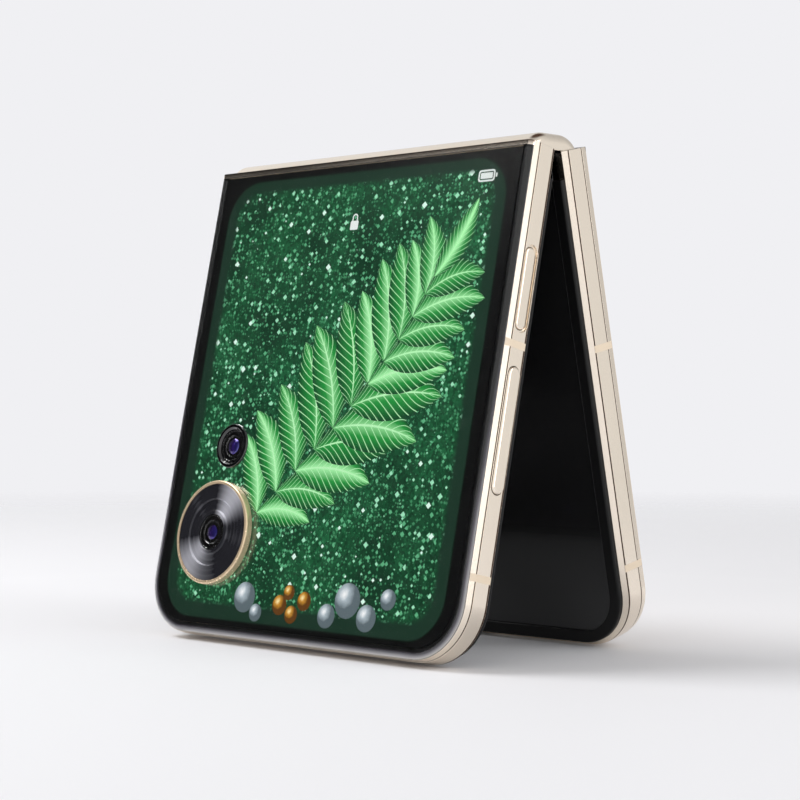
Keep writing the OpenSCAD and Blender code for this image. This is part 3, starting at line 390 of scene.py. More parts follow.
def group(name, inputs, outputs):
    """Start a node group with its sockets; returns the tree, its input node and its output node."""
    tree = bpy.data.node_groups.new(name, "ShaderNodeTree")
    for label, kind, value in inputs:
        tree.interface.new_socket(label, in_out="INPUT", socket_type=kind).default_value = value
    for label, kind in outputs:
        tree.interface.new_socket(label, in_out="OUTPUT", socket_type=kind)
    return tree, tree.nodes.new("NodeGroupInput"), tree.nodes.new("NodeGroupOutput")


def grain_group():
    """Colour = base darkened or lifted by noise; roughness = base plus noise; height = the same noise, finer."""
    tree, given, out = group("fine_grain", [
        ("Colour", "NodeSocketColor", (0.5, 0.5, 0.5, 1)), ("Spread", "NodeSocketFloat", 0.1),
        ("Roughness", "NodeSocketFloat", 0.4), ("Rough spread", "NodeSocketFloat", 0.1),
        ("Scale", "NodeSocketFloat", 2000), ("Stretch", "NodeSocketVector", (1, 1, 1))],
        [("Colour", "NodeSocketColor"), ("Roughness", "NodeSocketFloat"), ("Height", "NodeSocketFloat")])
    where = node(tree, "TexCoord")
    spread = node(tree, "VectorMath", {0: where.outputs["Object"], 1: given.outputs["Stretch"]},
                  operation="MULTIPLY")
    fine = node(tree, "TexNoise", {"Vector": spread.outputs[0], "Scale": given.outputs["Scale"], "Detail": 3.0})
    broad = node(tree, "TexNoise", {"Vector": where.outputs["Object"], "Scale": 60.0, "Detail": 2.0})
    both = node(tree, "Math", {0: fine.outputs[0], 1: broad.outputs[0]}, operation="ADD")
    even = node(tree, "Math", {0: both.outputs[0], 1: 1.0}, operation="SUBTRACT")
    lift = node(tree, "Math", {0: even.outputs[0], 1: given.outputs["Spread"], 2: 1.0}, operation="MULTIPLY_ADD")
    colour = node(tree, "VectorMath", {0: given.outputs["Colour"], "Scale": lift.outputs[0]}, operation="SCALE")
    rough = node(tree, "Math", {0: even.outputs[0], 1: given.outputs["Rough spread"],
                                2: given.outputs["Roughness"]}, operation="MULTIPLY_ADD")
    tree.links.new(colour.outputs[0], out.inputs["Colour"])
    tree.links.new(rough.outputs[0], out.inputs["Roughness"])
    tree.links.new(fine.outputs[0], out.inputs["Height"])
    return tree


GRAIN = grain_group()


def finish(name, constants):
    """A new material and its shader, with the constants set on the shader's own sockets."""
    material = bpy.data.materials.new(name)
    material.use_nodes = True
    shader = material.node_tree.nodes["Principled BSDF"]
    for key, value in constants.items():
        shader.inputs[key].default_value = value
    return material, shader


def grained(name, colour, spread=0.08, rough=0.35, rough_spread=0.1, scale=2500.0, stretch=(1, 1, 1), relief=0.0,
            **constants):
    """A finish with the grain group behind its colour, its roughness and, if asked, its relief."""
    material, shader = finish(name, {key.replace("_", " "): value for key, value in constants.items()})
    tree = material.node_tree
    effect = node(tree, "Group", node_tree=GRAIN)
    for label, value in (("Colour", colour), ("Spread", spread), ("Roughness", rough),
                         ("Rough spread", rough_spread), ("Scale", scale), ("Stretch", stretch)):
        effect.inputs[label].default_value = value
    tree.links.new(effect.outputs["Colour"], shader.inputs["Base Color"])
    tree.links.new(effect.outputs["Roughness"], shader.inputs["Roughness"])
    if relief:
        bump = node(tree, "Bump", {"Height": effect.outputs["Height"], "Strength": relief, "Distance": 0.00002})
        tree.links.new(bump.outputs[0], shader.inputs["Normal"])
    return material, shader, effect


print("grain group has", len(GRAIN.nodes), "nodes")

# %% [markdown]
# The frame is aluminium in a champagne tone: satin, warm in the shade and nearly white in the light. Where two
# faces meet, a fine groove keeps a brown line of shade, painted in: the band's skin carries a tone value that is 1
# in that groove, and the finish mixes its brown in there. The same painted shade darkens the key gaps, the lips of
# the holes and the faces at the hinge end.

# %% The champagne metal
CHAMPAGNE = paint(248, 236, 220)


def champagne_finish():
    """Grain on metal, with a painted brown shade mixed in where the surface's tone value is 1."""
    material, shader, effect = grained("champagne_metal", CHAMPAGNE, 0.05, 0.2, 0.08, 3000.0, (1, 1, 1), 0.03,
                                       Metallic=1.0)
    tree = material.node_tree
    groove = node(tree, "Attribute", attribute_name="tone")
    mixed = node(tree, "Mix", {"Factor": groove.outputs["Fac"], "A": effect.outputs["Colour"],
                               "B": paint(66, 42, 28)}, data_type="RGBA")
    tree.links.new(mixed.outputs["Result"], shader.inputs["Base Color"])
    return material


champagne = champagne_finish()
ring_gold = grained("ring_gold", paint(240, 214, 178), 0.05, 0.26, 0.06, 2500.0, Metallic=0.6)[0]
antenna = grained("antenna_plastic", paint(226, 208, 184), 0.05, 0.45, 0.1, 5000.0, relief=0.1)[0]
back_satin = grained("back_satin_glass", paint(226, 207, 184), 0.05, 0.32, 0.06, 9000.0, relief=0.05,
                     Coat_Weight=0.4, Coat_Roughness=0.25)[0]
black_soft = grained("soft_black", paint(9, 9, 10), 0.25, 0.42, 0.12, 5000.0, relief=0.15,
                     Specular_IOR_Level=0.25)[0]
steel = grained("plain_steel", paint(160, 160, 164), 0.12, 0.3, 0.15, 1500.0, (1, 8, 1), 0.1, Metallic=1.0)[0]
brass = grained("turned_brass", paint(196, 168, 108), 0.12, 0.28, 0.15, 3000.0, (8, 1, 1), 0.1, Metallic=1.0)[0]
black_screw = grained("blackened_screw", paint(70, 70, 74), 0.2, 0.35, 0.15, 4000.0, Metallic=1.0)[0]
print("champagne:", [round(c, 3) for c in CHAMPAGNE])

# %% [markdown]
# ## The metal frames
# On the real phone each half has a machined frame: a bright chamfer next to the inner screen, a flat band, a fine
# groove, and a shoulder that leans in to the glass. The keys and the port are cut through the band. A cube with
# holes cut by Booleans would give ragged edges. Instead the profile is swept round the outline, and the band's
# straight stretches are flat faces filled round their holes, each hole with its own rounded lip.

# %% The frame's profile and the edge of the glass
CHAMFER = [(0.9, 0.98), (0.75, 0.98), (0.04, 1.69), (0.1, 1.74), (0.1, 2.0), (0, 2.05), (0, 2.07)]
BAND_LOW, BAND_HIGH = 2.07, 5.0
GROOVE = [(0, 5.0), (0, 5.02), (0.1, 5.06), (0.1, 5.25), (0.022, 5.3), (0.2, 6.38), (0.6, 6.4)]
GLASS_LEAN, GLASS_ROLL, GLASS_RISE = 0.2, 1.02, 0.77
GLASS_RADIUS = (GLASS_ROLL ** 2 + GLASS_RISE ** 2) / (2 * GLASS_RISE)


def glass_edge(steps=12, gap=0.0):
    """The rounded edge of the outer glass as (inset, depth): an arc that ends level with the glass."""
    angle = np.linspace(math.asin(GLASS_ROLL / GLASS_RADIUS), 0, steps + 1)
    points = np.column_stack([GLASS_LEAN + GLASS_ROLL - GLASS_RADIUS * np.sin(angle) + gap,
                              DEPTH - GLASS_RADIUS * (1 - np.cos(angle))])
    return points, np.column_stack([-np.sin(angle), np.cos(angle)])


def lip(shell, hole, face_at, steps, order, spread=0.05):
    """Line a hole: a small round lip from the face, then each (inset, height) of the steps down. Deeper in, the
    tone rises to 1: painted shade for the gap.
    """
    middle, half_length, radius = hole
    corners = [(0, face_at), (spread, face_at), *steps]
    radii = [0, spread * 0.9] + [0.04] * (len(steps) - 1) + [0]
    points, normals = rounded(corners, radii, side=math.copysign(1, face_at))
    deep = abs(face_at) - np.abs(points[:, 1])
    tone = np.clip((deep - (0.38 if len(steps) > 2 else 0.08)) / 0.12, 0, 1)
    shell.grid(*sweep(stadium_track(middle, half_length, radius), points, normals, order), closed=(True, False),
               tone=tone[None, :])


def band_face(shell, span, face_at, normal, holes, order):
    """One straight stretch of the flat band, filled round its holes."""
    outline = [(BAND_LOW, span[0]), (BAND_HIGH, span[0]), (BAND_HIGH, span[1]), (BAND_LOW, span[1])]
    loops = [stadium_track(*hole[0])[0] for hole in holes]
    fill(shell, outline, loops, face_at, normal, order)
    for hole, steps in holes:
        lip(shell, hole, face_at, steps, order)


print("radius of the glass edge:", round(GLASS_RADIUS, 3), "mm")

# %% The band of a half


def frame_skin(name, place, body, node_name, right, left, end):
    """Chamfer, band, groove and shoulder round a half, closed at the hinge end, with the rim over the hinge.
    right, left and end list the holes of the band's three straight stretches."""
    shell = Shell(place)
    start, cap = 0.05, 0.06
    path = half_track(start, cap)
    low = rounded(CHAMFER, [0, 0.05, 0.03, 0.02, 0.02, 0.02, 0])
    high = rounded(GROOVE, [0, 0.02, 0.02, 0.02, 0.03, 0.06, 0])
    # Painted shade: tone 1 in the chamfer's small step and in the groove mixes in the brown.
    seam = (low[0][:, 0] > 0.05) & (low[0][:, 1] > 1.7)
    shell.grid(*sweep(path, *low), tone=seam[None, :].astype(float))
    groove = (high[0][:, 0] > 0.05) & (high[0][:, 1] < 5.29)
    shell.grid(*sweep(path, *high), tone=groove[None, :].astype(float))
    band = (np.array([[0, BAND_LOW], [0, BAND_HIGH]]), np.array([[-1.0, 0], [-1, 0]]))
    cap_steps, corner_points = 4, 21
    straights = (cap_steps, cap_steps + corner_points, len(path[0]) - cap_steps - 2)
    shell.grid(*sweep(path, *band), skip=straights)
    straight = (start + cap, HALF_RUN - CORNER)
    band_face(shell, straight, HALF_WIDTH, (1, 0, 0), right, (1, 0, 2))
    band_face(shell, straight, -HALF_WIDTH, (-1, 0, 0), left, (1, 0, 2))
    flat = HALF_WIDTH - CORNER
    band_face(shell, (-flat, flat), HALF_RUN, (0, 0, 1), end, (1, 2, 0))
    hinge_inset = 0.9
    # Painted shade: the faces at the hinge end get tone 0.7, a darker brown.
    for side in (1, -1):
        outline = np.concatenate([low[0] - cap * low[1], band[0] - cap * band[1], high[0] - cap * high[1]])
        outline = np.concatenate([outline, [[hinge_inset, 6.36], [hinge_inset, 1.0]]])
        outline[:, 0] = side * (HALF_WIDTH - np.minimum(outline[:, 0], hinge_inset))
        fill(shell, outline[:, ::-1], [], start, (0, 0, -1), (1, 2, 0), tone=0.7)
    rim(shell)
    return shell.make(name, champagne, body, [node_name])


def rim(shell):
    """The metal strip at the hinge end of the outer face: its outline is the glass edge on both sides."""
    edge, out = glass_edge()
    right = np.column_stack([HALF_WIDTH - edge[:, 0], edge[:, 1]])
    bottom = np.array([(-37.6, 6.38), (-36.9, 6.38), (-36.9, 6.43), (36.9, 6.43), (36.9, 6.38), (37.6, 6.38)])
    under, under_out = rounded(bottom, [0] * 6, side=-1)
    points = np.concatenate([right, right[::-1] * [-1, 1], under])
    normals = np.concatenate([out * [-1, 1], out[::-1], under_out])
    path = straight_track((0.05, 0.87), end_radius=0)
    shell.grid(*sweep(path, points, normals), closed=(False, True))
    # Painted shade: the end face towards the hinge gets tone 1, a dark brown line.
    for place, way in ((0.05, -1), (0.87, 1)):
        fill(shell, points, [], place, (0, 0, way), (0, 2, 1), tone=1.0 if way < 0 else 0.0)


POCKET = [(0.14, 37.45), (0.4, 37.45), (0.41, 37.3), (0.42, 36.1)]
SLOT = [(0.055, 37.6), (0.06, 36.1)]
power_hole = (((3.44, 23.55), 5.55, 1.6), POCKET)
volume_hole = (((3.44, 46.35), 8.85, 1.47), SLOT)
tray_hole = (((3.44, 54.5), 5.7, 0.9), [(0.055, -37.6), (0.06, -36.1)])
port_hole = (((3.44, 0.0), 2.89, 1.63), [(0.055, 83.4), (0.06, 82.0)])
small_holes = [(((3.44, x), 0.0, r + 0.05), [(0.055, 83.4), (0.06, 81.9)]) for x, r in
               [(-9.0, 0.4)] + [(10.0 + 2 * k, 0.55) for k in range(6)]]
front_band = frame_skin("front_band", FRONT, "front_half", "front_frame", [power_hole, volume_hole], [], [])
rear_band = frame_skin("rear_band", REAR, "rear_half", "rear_frame", [], [tray_hole], [port_hole, *small_holes])

# %% [markdown]
# The skin is thin, and through a key's gap or from the hinge end the metal behind it shows. That metal is the
# frame's own solid: a merged copy of it, drawn in by an eighth of a millimetre so that the skin covers it.

# %% The solid metal behind the skin


def drawn_in(points, gap=0.13):
    """Find each point's inset from the outline and its depth, and move it inward until it lies a gap behind the
    skin: past the chamfer's slope, the band, the shoulder's slope or the rim's arc, whichever is at its depth."""
    x, t, s = points.T.copy()
    side = np.sign(x)
    ax = np.abs(x)
    mid = HALF_WIDTH - CORNER
    round_part = (ax > mid) & (s > HALF_RUN - CORNER)
    away = np.hypot(ax - mid, s - (HALF_RUN - CORNER))
    inset = np.where(round_part, CORNER - away, np.minimum(HALF_WIDTH - ax, HALF_RUN - s))
    slope = np.where(t < 1.73, 0.75 - (t - 0.98), np.where(t > 5.15, (t - 5.15) * 0.163, 0))
    arc = np.clip(1 - (DEPTH - t) / GLASS_RADIUS, -1, 1)
    slope = np.where(t > 6.38, 1.22 - GLASS_RADIUS * np.sqrt(1 - arc ** 2), slope)
    push = np.maximum(slope + gap - inset, 0)
    near_end = ~round_part & (HALF_RUN - s < HALF_WIDTH - ax)
    scale = np.where(away > 0, (away - push) / np.maximum(away, 1e-6), 1)
    new_x = np.where(round_part, mid + (ax - mid) * scale, np.where(near_end, ax, ax - push))
    turned_s = HALF_RUN - CORNER + (s - HALF_RUN + CORNER) * scale
    new_s = np.where(round_part, turned_s, np.where(near_end, s - push, s))
    return np.column_stack([side * new_x, np.clip(t, 1.0, DEPTH - gap), np.maximum(new_s, 0.05 + gap)])


def merged_copy(node_name):
    """A copy of a node's mesh with its loose triangles joined into one surface."""
    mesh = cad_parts[node_name].data.copy()
    work = bmesh.new()
    work.from_mesh(mesh)
    bmesh.ops.remove_doubles(work, verts=work.verts, dist=1e-7)
    work.to_mesh(mesh)
    work.free()
    return mesh


def frame_core(name, node_name, body, side):
    """The merged copy, taken into the half's own directions, drawn in and put back."""
    mesh = merged_copy(node_name)
    spot = np.empty(len(mesh.vertices) * 3, np.float32)
    mesh.vertices.foreach_get("co", spot)
    turn, move = half_axes(side)
    own = drawn_in((spot.reshape(-1, 3).astype(float) * 1000 - move) @ turn)
    mesh.vertices.foreach_set("co", ((own @ turn.T + move) / 1000).astype(np.float32).ravel())
    mesh.polygons.foreach_set("use_smooth", np.zeros(len(mesh.polygons), bool))
    mesh.materials.clear()
    mesh.materials.append(champagne)
    piece = bpy.data.objects.new(name, mesh)
    bpy.context.scene.collection.objects.link(piece)
    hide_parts(node_name)
    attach(piece, body)
    print(name, len(mesh.vertices), "points")
    return piece


front_core = frame_core("front_core", "front_frame", "front_half", -1)
rear_core = frame_core("rear_core", "rear_frame", "rear_half", 1)

# %% [markdown]
# The antenna breaks are bars of plastic set into the frame, a little duller than the metal. Each is the band's own
# profile carried along 1.2 mm, and it stands a hundredth of a millimetre proud, as filled plastic does.

# %% Antenna breaks


def antenna_breaks(name, place, body, node_name):
    """Short sweeps of a closed profile at the two places on both sides of a half."""
    shell = Shell(place)
    corners = [(1.2, 1.76), (-0.012, 1.72), (-0.012, 5.15), (0.185, 6.36), (1.2, 6.36)]
    points, normals = rounded(corners, [0.05, 0.05, 0.1, 0.05, 0.05], closed=True)
    for side in (1, -1):
        for run in (32.7, 69.8):
            path = straight_track((run - 0.6, run + 0.6), side * HALF_WIDTH, -side, 0.03)
            shell.grid(*sweep(path, points, normals), closed=(False, True))
            ends = points - 0.03 * normals
            flat = np.column_stack([side * (HALF_WIDTH - ends[:, 0]), ends[:, 1]])
            for at, way in ((run - 0.6, -1), (run + 0.6, 1)):
                fill(shell, flat, [], at, (0, 0, way), (0, 2, 1))
    return shell.make(name, antenna, body, [node_name])


antenna_breaks("front_breaks", FRONT, "front_half", "front_antenna_breaks")
antenna_breaks("rear_breaks", REAR, "rear_half", "rear_antenna_breaks")

# %% [markdown]
# ## The keys
# Both keys are bars with round ends and a soft edge. The power key lies in a shallow pocket, and the volume key
# stands out of the band. Each is a stadium outline with a profile swept round it, and a flat face in the middle.

# %% Power key and volume key


def key(name, node_name, body, middle, half_length, radius, face_at, edge):
    """A stadium bar from inside the frame out to its face, with a rounded edge of the given radius."""
    shell = Shell(FRONT)
    points, normals = rounded([(0, 35.7), (0, face_at), (edge * 1.6, face_at)], [0, edge, 0], steps=8)
    path = stadium_track(middle, half_length, radius)
    # Painted shade: the key's sides below its rounded edge get tone 0.6, a brown for the gap round the key.
    wall = 0.6 * (points[:, 1] < face_at - edge * 0.9)
    shell.grid(*sweep(path, points, normals, (1, 0, 2)), closed=(True, False), tone=wall[None, :])
    fill(shell, stadium_track(middle, half_length, radius - edge * 1.6)[0], [], face_at, (1, 0, 0), (1, 0, 2))
    fill(shell, path[0], [], 35.7, (-1, 0, 0), (1, 0, 2))
    return shell.make(name, champagne, body, [node_name])


key("power_key_bar", "power_key", "power_key", (3.44, 23.55), 5.55, 1.1, 37.7, 0.3)
key("volume_key_bar", "volume_key", "volume_key", (3.44, 46.35), 8.85, 1.3, 38.1, 0.35)

# %% [markdown]
# ## The spine
# The spine is an arched strip of the same metal that hides the hinge. Its outline along the hinge is flat with
# round ends; its section is two quarter circles about the two axes with a flat between them. So one closed
# outline of (place along the hinge, radius) is turned over the arch, and the bottom edge is cut level.

# %% The arched cover


def spine():
    """Row k of the grid stands at an angle over the arch: it starts where the radius meets the level of the
    skirt, turns up about the front axis, crosses to the rear axis and turns down again."""
    skirt, radius, wall, end_wall, end_round, half = 0.3, 4.65, 0.55, 0.9, 1.7, 36.8
    hub = 1.85
    corners = [(-half, hub), (-half, radius), (half, radius), (half, hub), (half - end_wall, hub),
               (half - end_wall, radius - wall), (end_wall - half, radius - wall), (end_wall - half, hub)]
    points, normals = rounded(corners, [0.05, end_round, end_round, 0.05, 0.05, 0.1, 0.1, 0.05], steps=14,
                              closed=True)
    share = np.linspace(0, 1, 25)[:, None]
    low = np.arcsin(skirt / points[:, 1])[None, :]
    angle = low + (math.pi / 2 - low) * share
    x = np.broadcast_to(points[:, 0], angle.shape)
    y, z = -AXIS - points[:, 1] * np.cos(angle), points[:, 1] * np.sin(angle)
    n = np.stack([np.broadcast_to(normals[:, 0], angle.shape), -normals[:, 1] * np.cos(angle),
                  normals[:, 1] * np.sin(angle)], -1)
    front = np.stack([x, y, z], -1)
    rear, back = front[::-1] * [1, -1, 1], n[::-1] * [1, -1, 1]
    shell = Shell(spine_place)
    shell.grid(np.concatenate([front, rear]), np.concatenate([n, back]), closed=(False, True))
    for side in (-1, 1):
        foot = np.column_stack([points[:, 0], side * (AXIS + np.sqrt(points[:, 1] ** 2 - skirt ** 2))])
        flat, faces = flat_fill(foot)
        level = np.column_stack([flat, np.full(len(flat), skirt)])
        shell.add(level, np.broadcast_to([0, 0, -1.0], level.shape), faces)
    return shell.make("spine_arch", champagne, "spine", ["spine_cover"])


spine()

# %% [markdown]
# ## Glass panels
# The cover glass is a real sheet of glass with a rounded edge, two holes for the cameras and a step at its back.
# It is made as one closed solid, so light bends in it as it should. The back cover has the same outline in satin
# champagne glass that is coloured through.

# %% Clear glass and the two panels


def clear_glass():
    """Plain clear glass; a faint noise in its roughness stands for the last traces of a cloth."""
    material, shader = finish("clear_glass", {"Base Color": (1, 1, 1, 1), "Transmission Weight": 1.0, "IOR": 1.5})
    tree = material.node_tree
    where = node(tree, "TexCoord")
    cloth = node(tree, "TexNoise", {"Vector": where.outputs["Object"], "Scale": 90.0, "Detail": 4.0})
    rough = node(tree, "MapRange", {"Value": cloth.outputs[0], "To Min": 0.0, "To Max": 0.03})
    tree.links.new(rough.outputs[0], shader.inputs["Roughness"])
    return material


def print_with_glint_finish():
    """The print under the glass's edge: black inside, then a painted highlight of grey, light grey and at the
    very edge the frame's cream, for the light that the rounded glass catches.
    """
    material, shader, effect = grained("edge_print_painted_glint", (1, 1, 1, 1), 0.04, 0.35, 0.05, 2500.0)
    tree = material.node_tree
    ramp = node(tree, "ValToRGB", {"Fac": node(tree, "Attribute", attribute_name="tone").outputs["Fac"]})
    stops = ramp.color_ramp.elements
    stops[0].color, stops[0].position = paint(3, 3, 4), 0.3
    stops[1].color, stops[1].position = paint(246, 238, 226), 0.98
    stops.new(0.5).color = paint(96, 92, 102)
    stops.new(0.72).color = paint(206, 204, 208)
    tint = node(tree, "Mix", {"A": effect.outputs["Colour"], "B": ramp.outputs[0]}, data_type="RGBA",
                blend_type="MULTIPLY")
    tint.inputs["Factor"].default_value = 1.0
    tree.links.new(tint.outputs["Result"], shader.inputs["Base Color"])
    return material


print_with_glint = print_with_glint_finish()
MAIN, WIDE = (-22.3, 66.0), (-21.8, 50.6)


def inset_line(inset, start):
    """The outline of a half at an inset, from the hinge end round to the hinge end."""
    path = half_track(start, 0)
    return path[0] + inset * path[1]


def wall_between(loop, low, high):
    """The points of an upright wall that stands on a loop, from one depth to another."""
    return np.stack([np.column_stack([loop[:, 0], np.full(len(loop), t), loop[:, 1]]) for t in (low, high)], 1)


def panel(name, place, body, material, replaces, holes=()):
    """Edge, step and walls swept round the half; top and underside filled round the holes."""
    shell = Shell(place)
    start, step, under = 0.89, 1.9, 6.8
    edge, out = glass_edge(gap=0.03)
    ledge, base = 0.25, 6.4
    below = np.column_stack([np.linspace(step, ledge, 12), np.full(12, base)])
    under_edge = np.concatenate([[[step, under], [step, base]], below])
    under_out = np.array([[1.0, 0]] * 2 + [[0, -1.0]] * 12)
    # Painted highlight: shade is 0 at the step and 1 at the ledge, and the edge print turns it into the gradient to
    # cream.
    shade = np.concatenate([[0, 0], (step - below[:, 0]) / (step - ledge)])
    path = half_track(start, 0)
    shell.grid(*sweep(path, under_edge, under_out), tone=shade[None, :], slot=1)
    outer = np.concatenate([[[ledge, base]], edge, [[step, DEPTH]]])
    shell.grid(*sweep(path, outer, np.concatenate([[[-1.0, 0]], out, [[0, 1.0]]])))
    points = np.concatenate([under_edge, outer])
    loops = [circle(where, radius) for where, radius in holes]
    fill(shell, inset_line(step, start), loops, DEPTH, (0, 1, 0))
    fill(shell, inset_line(step, start), loops, under, (0, -1, 0))
    for loop, (middle, radius) in zip(loops, holes):
        walls = wall_between(loop, under, DEPTH)
        way = np.column_stack([middle[0] - loop[:, 0], 0 * loop[:, 0], middle[1] - loop[:, 1]]) / radius
        shell.grid(walls, np.stack([way, way], 1), closed=(True, False))
    right = np.column_stack([HALF_WIDTH - points[:, 0], points[:, 1]])
    fill(shell, np.concatenate([right, right[::-1] * [-1, 1]]), [], start, (0, 0, -1), (0, 2, 1), slot=1)
    return shell.make(name, material, body, replaces)


clear = clear_glass()
panel("cover_glass_sheet", FRONT, "front_half", [clear, print_with_glint], ["cover_glass"], [(MAIN, 8.2), (WIDE, 3.45)])
panel("back_panel", REAR, "rear_half", [back_satin, back_satin], ["back_cover"])

# %% [markdown]
# ## The lit picture under the glass
# The cover screen shows a picture of its own: a dark green field that glitters, and a spray of bright leaves over
# it. The field is drawn by nodes on the screen's flat map, which is in tenths of a metre so that one unit of the
# map is 100 mm. Glitter is a cell pattern: each cell gets a random value, only the highest light up, and the
# distance to the cell's middle, measured in diagonal steps, makes each fleck a small diamond.

# %% The glitter field


def fleck_group():
    """Mask = 1 in the middle of the few cells whose random value is above the limit."""
    tree, given, out = group("glitter_flecks", [
        ("Map", "NodeSocketVector", (0, 0, 0)), ("Scale", "NodeSocketFloat", 100),
        ("Limit", "NodeSocketFloat", 0.8),
        ("Size", "NodeSocketFloat", 0.4)], [("Mask", "NodeSocketFloat"), ("Random", "NodeSocketFloat")])
    cells = node(tree, "TexVoronoi", {"Vector": given.outputs["Map"], "Scale": given.outputs["Scale"],
                                      "Randomness": 0.9}, voronoi_dimensions="2D", distance="MANHATTAN")
    parts = node(tree, "SeparateColor", {"Color": cells.outputs["Color"]})
    lit = node(tree, "Math", {0: parts.outputs[0], 1: given.outputs["Limit"]}, operation="GREATER_THAN")
    size = node(tree, "Math", {0: parts.outputs[1], 1: given.outputs["Size"]}, operation="MULTIPLY")
    small = node(tree, "Math", {0: size.outputs[0], 1: cells.outputs["Distance"]}, operation="GREATER_THAN")
    both = node(tree, "Math", {0: lit.outputs[0], 1: small.outputs[0]}, operation="MULTIPLY")
    tree.links.new(both.outputs[0], out.inputs["Mask"])
    tree.links.new(parts.outputs[2], out.inputs["Random"])
    return tree


FLECKS = fleck_group()


def screen_finish():
    """Emission = dark green clouds, plus four sizes of flecks, inside a rectangle with round corners."""
    material, shader = finish("lit_screen", {"Base Color": paint(4, 5, 5), "Roughness": 0.3,
                                             "Emission Strength": 1.0})
    tree = material.node_tree
    uv = node(tree, "UVMap", uv_map="UVMap").outputs[0]
    cloud = node(tree, "TexNoise", {"Vector": uv, "Scale": 9.0, "Detail": 5.0}, noise_dimensions="2D")
    grit = node(tree, "TexVoronoi", {"Vector": uv, "Scale": 240.0}, voronoi_dimensions="2D", distance="MANHATTAN")
    shade = node(tree, "ValToRGB", {"Fac": cloud.outputs[0]})
    shade.color_ramp.elements[0].color, shade.color_ramp.elements[1].color = paint(14, 62, 38), paint(36, 116, 70)
    shade.color_ramp.elements[0].position, shade.color_ramp.elements[1].position = 0.3, 0.75
    gritty = node(tree, "Mix", {"Factor": grit.outputs["Color"], "A": shade.outputs[0], "B": paint(10, 44, 27)},
                  data_type="RGBA")
    gritty.inputs["Factor"].default_value = 0.5
    colour = gritty.outputs["Result"]
    layers = ((170.0, 0.55, 0.6, paint(66, 140, 96)), (120.0, 0.72, 0.6, paint(96, 178, 130)),
              (95.0, 0.84, 0.55, paint(160, 228, 190)), (62.0, 0.92, 0.42, paint(224, 252, 238)))
    for scale, limit, size, tint in layers:
        flecks = node(tree, "Group", {"Map": uv, "Scale": scale, "Limit": limit, "Size": size}, node_tree=FLECKS)
        for label, value in (("Scale", scale), ("Limit", limit), ("Size", size)):
            flecks.inputs[label].default_value = value
        tree.links.new(uv, flecks.inputs["Map"])
        colour = node(tree, "Mix", {"Factor": flecks.outputs["Mask"], "A": colour, "B": tint},
                      data_type="RGBA").outputs["Result"]
    strip = node(tree, "Mix", {"Factor": round_rectangle(tree, uv, (0.0, 0.415), (0.339, 0.394), 0.075),
                               "A": (0, 0, 0, 1), "B": paint(22, 50, 36)}, data_type="RGBA")
    lit = node(tree, "Mix", {"Factor": round_rectangle(tree, uv, (0.0, 0.412), (0.316, 0.372), 0.055, 0.01),
                             "A": strip.outputs["Result"], "B": colour}, data_type="RGBA")
    tree.links.new(lit.outputs["Result"], shader.inputs["Emission Color"])
    return material


def round_rectangle(tree, uv, middle, half, radius, soft=0.004):
    """Mask = 1 inside: the distance to a rectangle with round corners is the length of what sticks out past the
    rectangle's inner box, less the corner's radius."""
    centred = node(tree, "VectorMath", {0: uv, 1: (*middle, 0)}, operation="SUBTRACT")
    away = node(tree, "VectorMath", {0: centred.outputs[0]}, operation="ABSOLUTE")
    past = node(tree, "VectorMath", {0: away.outputs[0], 1: (half[0] - radius, half[1] - radius, 0)},
                operation="SUBTRACT")
    only = node(tree, "VectorMath", {0: past.outputs[0], 1: (0, 0, 0)}, operation="MAXIMUM")
    length = node(tree, "VectorMath", {0: only.outputs[0]}, operation="LENGTH")
    edge = node(tree, "MapRange", {"Value": length.outputs["Value"], "From Min": radius - soft,
                                   "From Max": radius, "To Min": 1.0, "To Max": 0.0})
    return edge.outputs[0]


lit_screen = screen_finish()


def screen():
    """A thin sheet in the glass's step, with its own camera holes, a little wider than the glass's."""
    shell = Shell(FRONT)
    top, under = 6.79, 6.57
    outline = inset_line(1.95, 1.08)
    holes = [circle(MAIN, 8.5), circle(WIDE, 3.75)]
    fill(shell, outline, holes, top, (0, 1, 0))
    fill(shell, outline, holes, under, (0, -1, 0))
    for loop, way in ((outline, 1), (holes[0], -1), (holes[1], -1)):
        ahead = np.roll(loop, -1, 0) - np.roll(loop, 1, 0)
        ahead /= np.linalg.norm(ahead, axis=1, keepdims=True)
        out = way * np.column_stack([ahead[:, 1], 0 * ahead[:, 0], -ahead[:, 0]])
        walls = wall_between(loop, under, top)
        shell.grid(walls, np.stack([out, out], 1), uv=np.zeros((len(loop), 2, 2)), closed=(True, False))
    return shell.make("cover_screen", lit_screen, "front_half", ["cover_display"])


screen()

# %% [markdown]
# The leaves are thin shapes laid on the screen, as cut paper would be. A leaf is a surface of two numbers: one
# runs from stalk to tip along a bent line, the other runs across, and the width swells and ends in a point. The
# two numbers are also its map, so the veins can follow the leaf.

# %% The spray of leaves
LEAF_LEVEL = 6.792


def leaf_patch(shell, base, tip, width, bend, level, tone):
    """Middle line = a parabola from base to tip pushed sideways by the bend; half width = width x
    sin(pi a)^0.75 x (1 - 0.3 a)."""
    a, b = np.meshgrid(np.linspace(0, 1, 25), np.linspace(-1, 1, 9), indexing="ij")
    base, tip = np.array(base, float), np.array(tip, float)
    ahead = (tip - base) / np.linalg.norm(tip - base)
    aside = np.array([-ahead[1], ahead[0]])
    middle = base + (tip - base) * a[..., None] + aside * (bend * 4 * a * (1 - a))[..., None]
    reach = width * np.abs(np.sin(math.pi * a)) ** 0.75 * (1 - 0.3 * a) * b
    flat = middle + aside * reach[..., None]
    points = np.stack([flat[..., 0], np.full(a.shape, level), flat[..., 1]], -1)
    shell.grid(points, np.broadcast_to([0, 1.0, 0], points.shape), uv=np.stack([a, b * 0.5 + 0.5], -1), tone=tone)


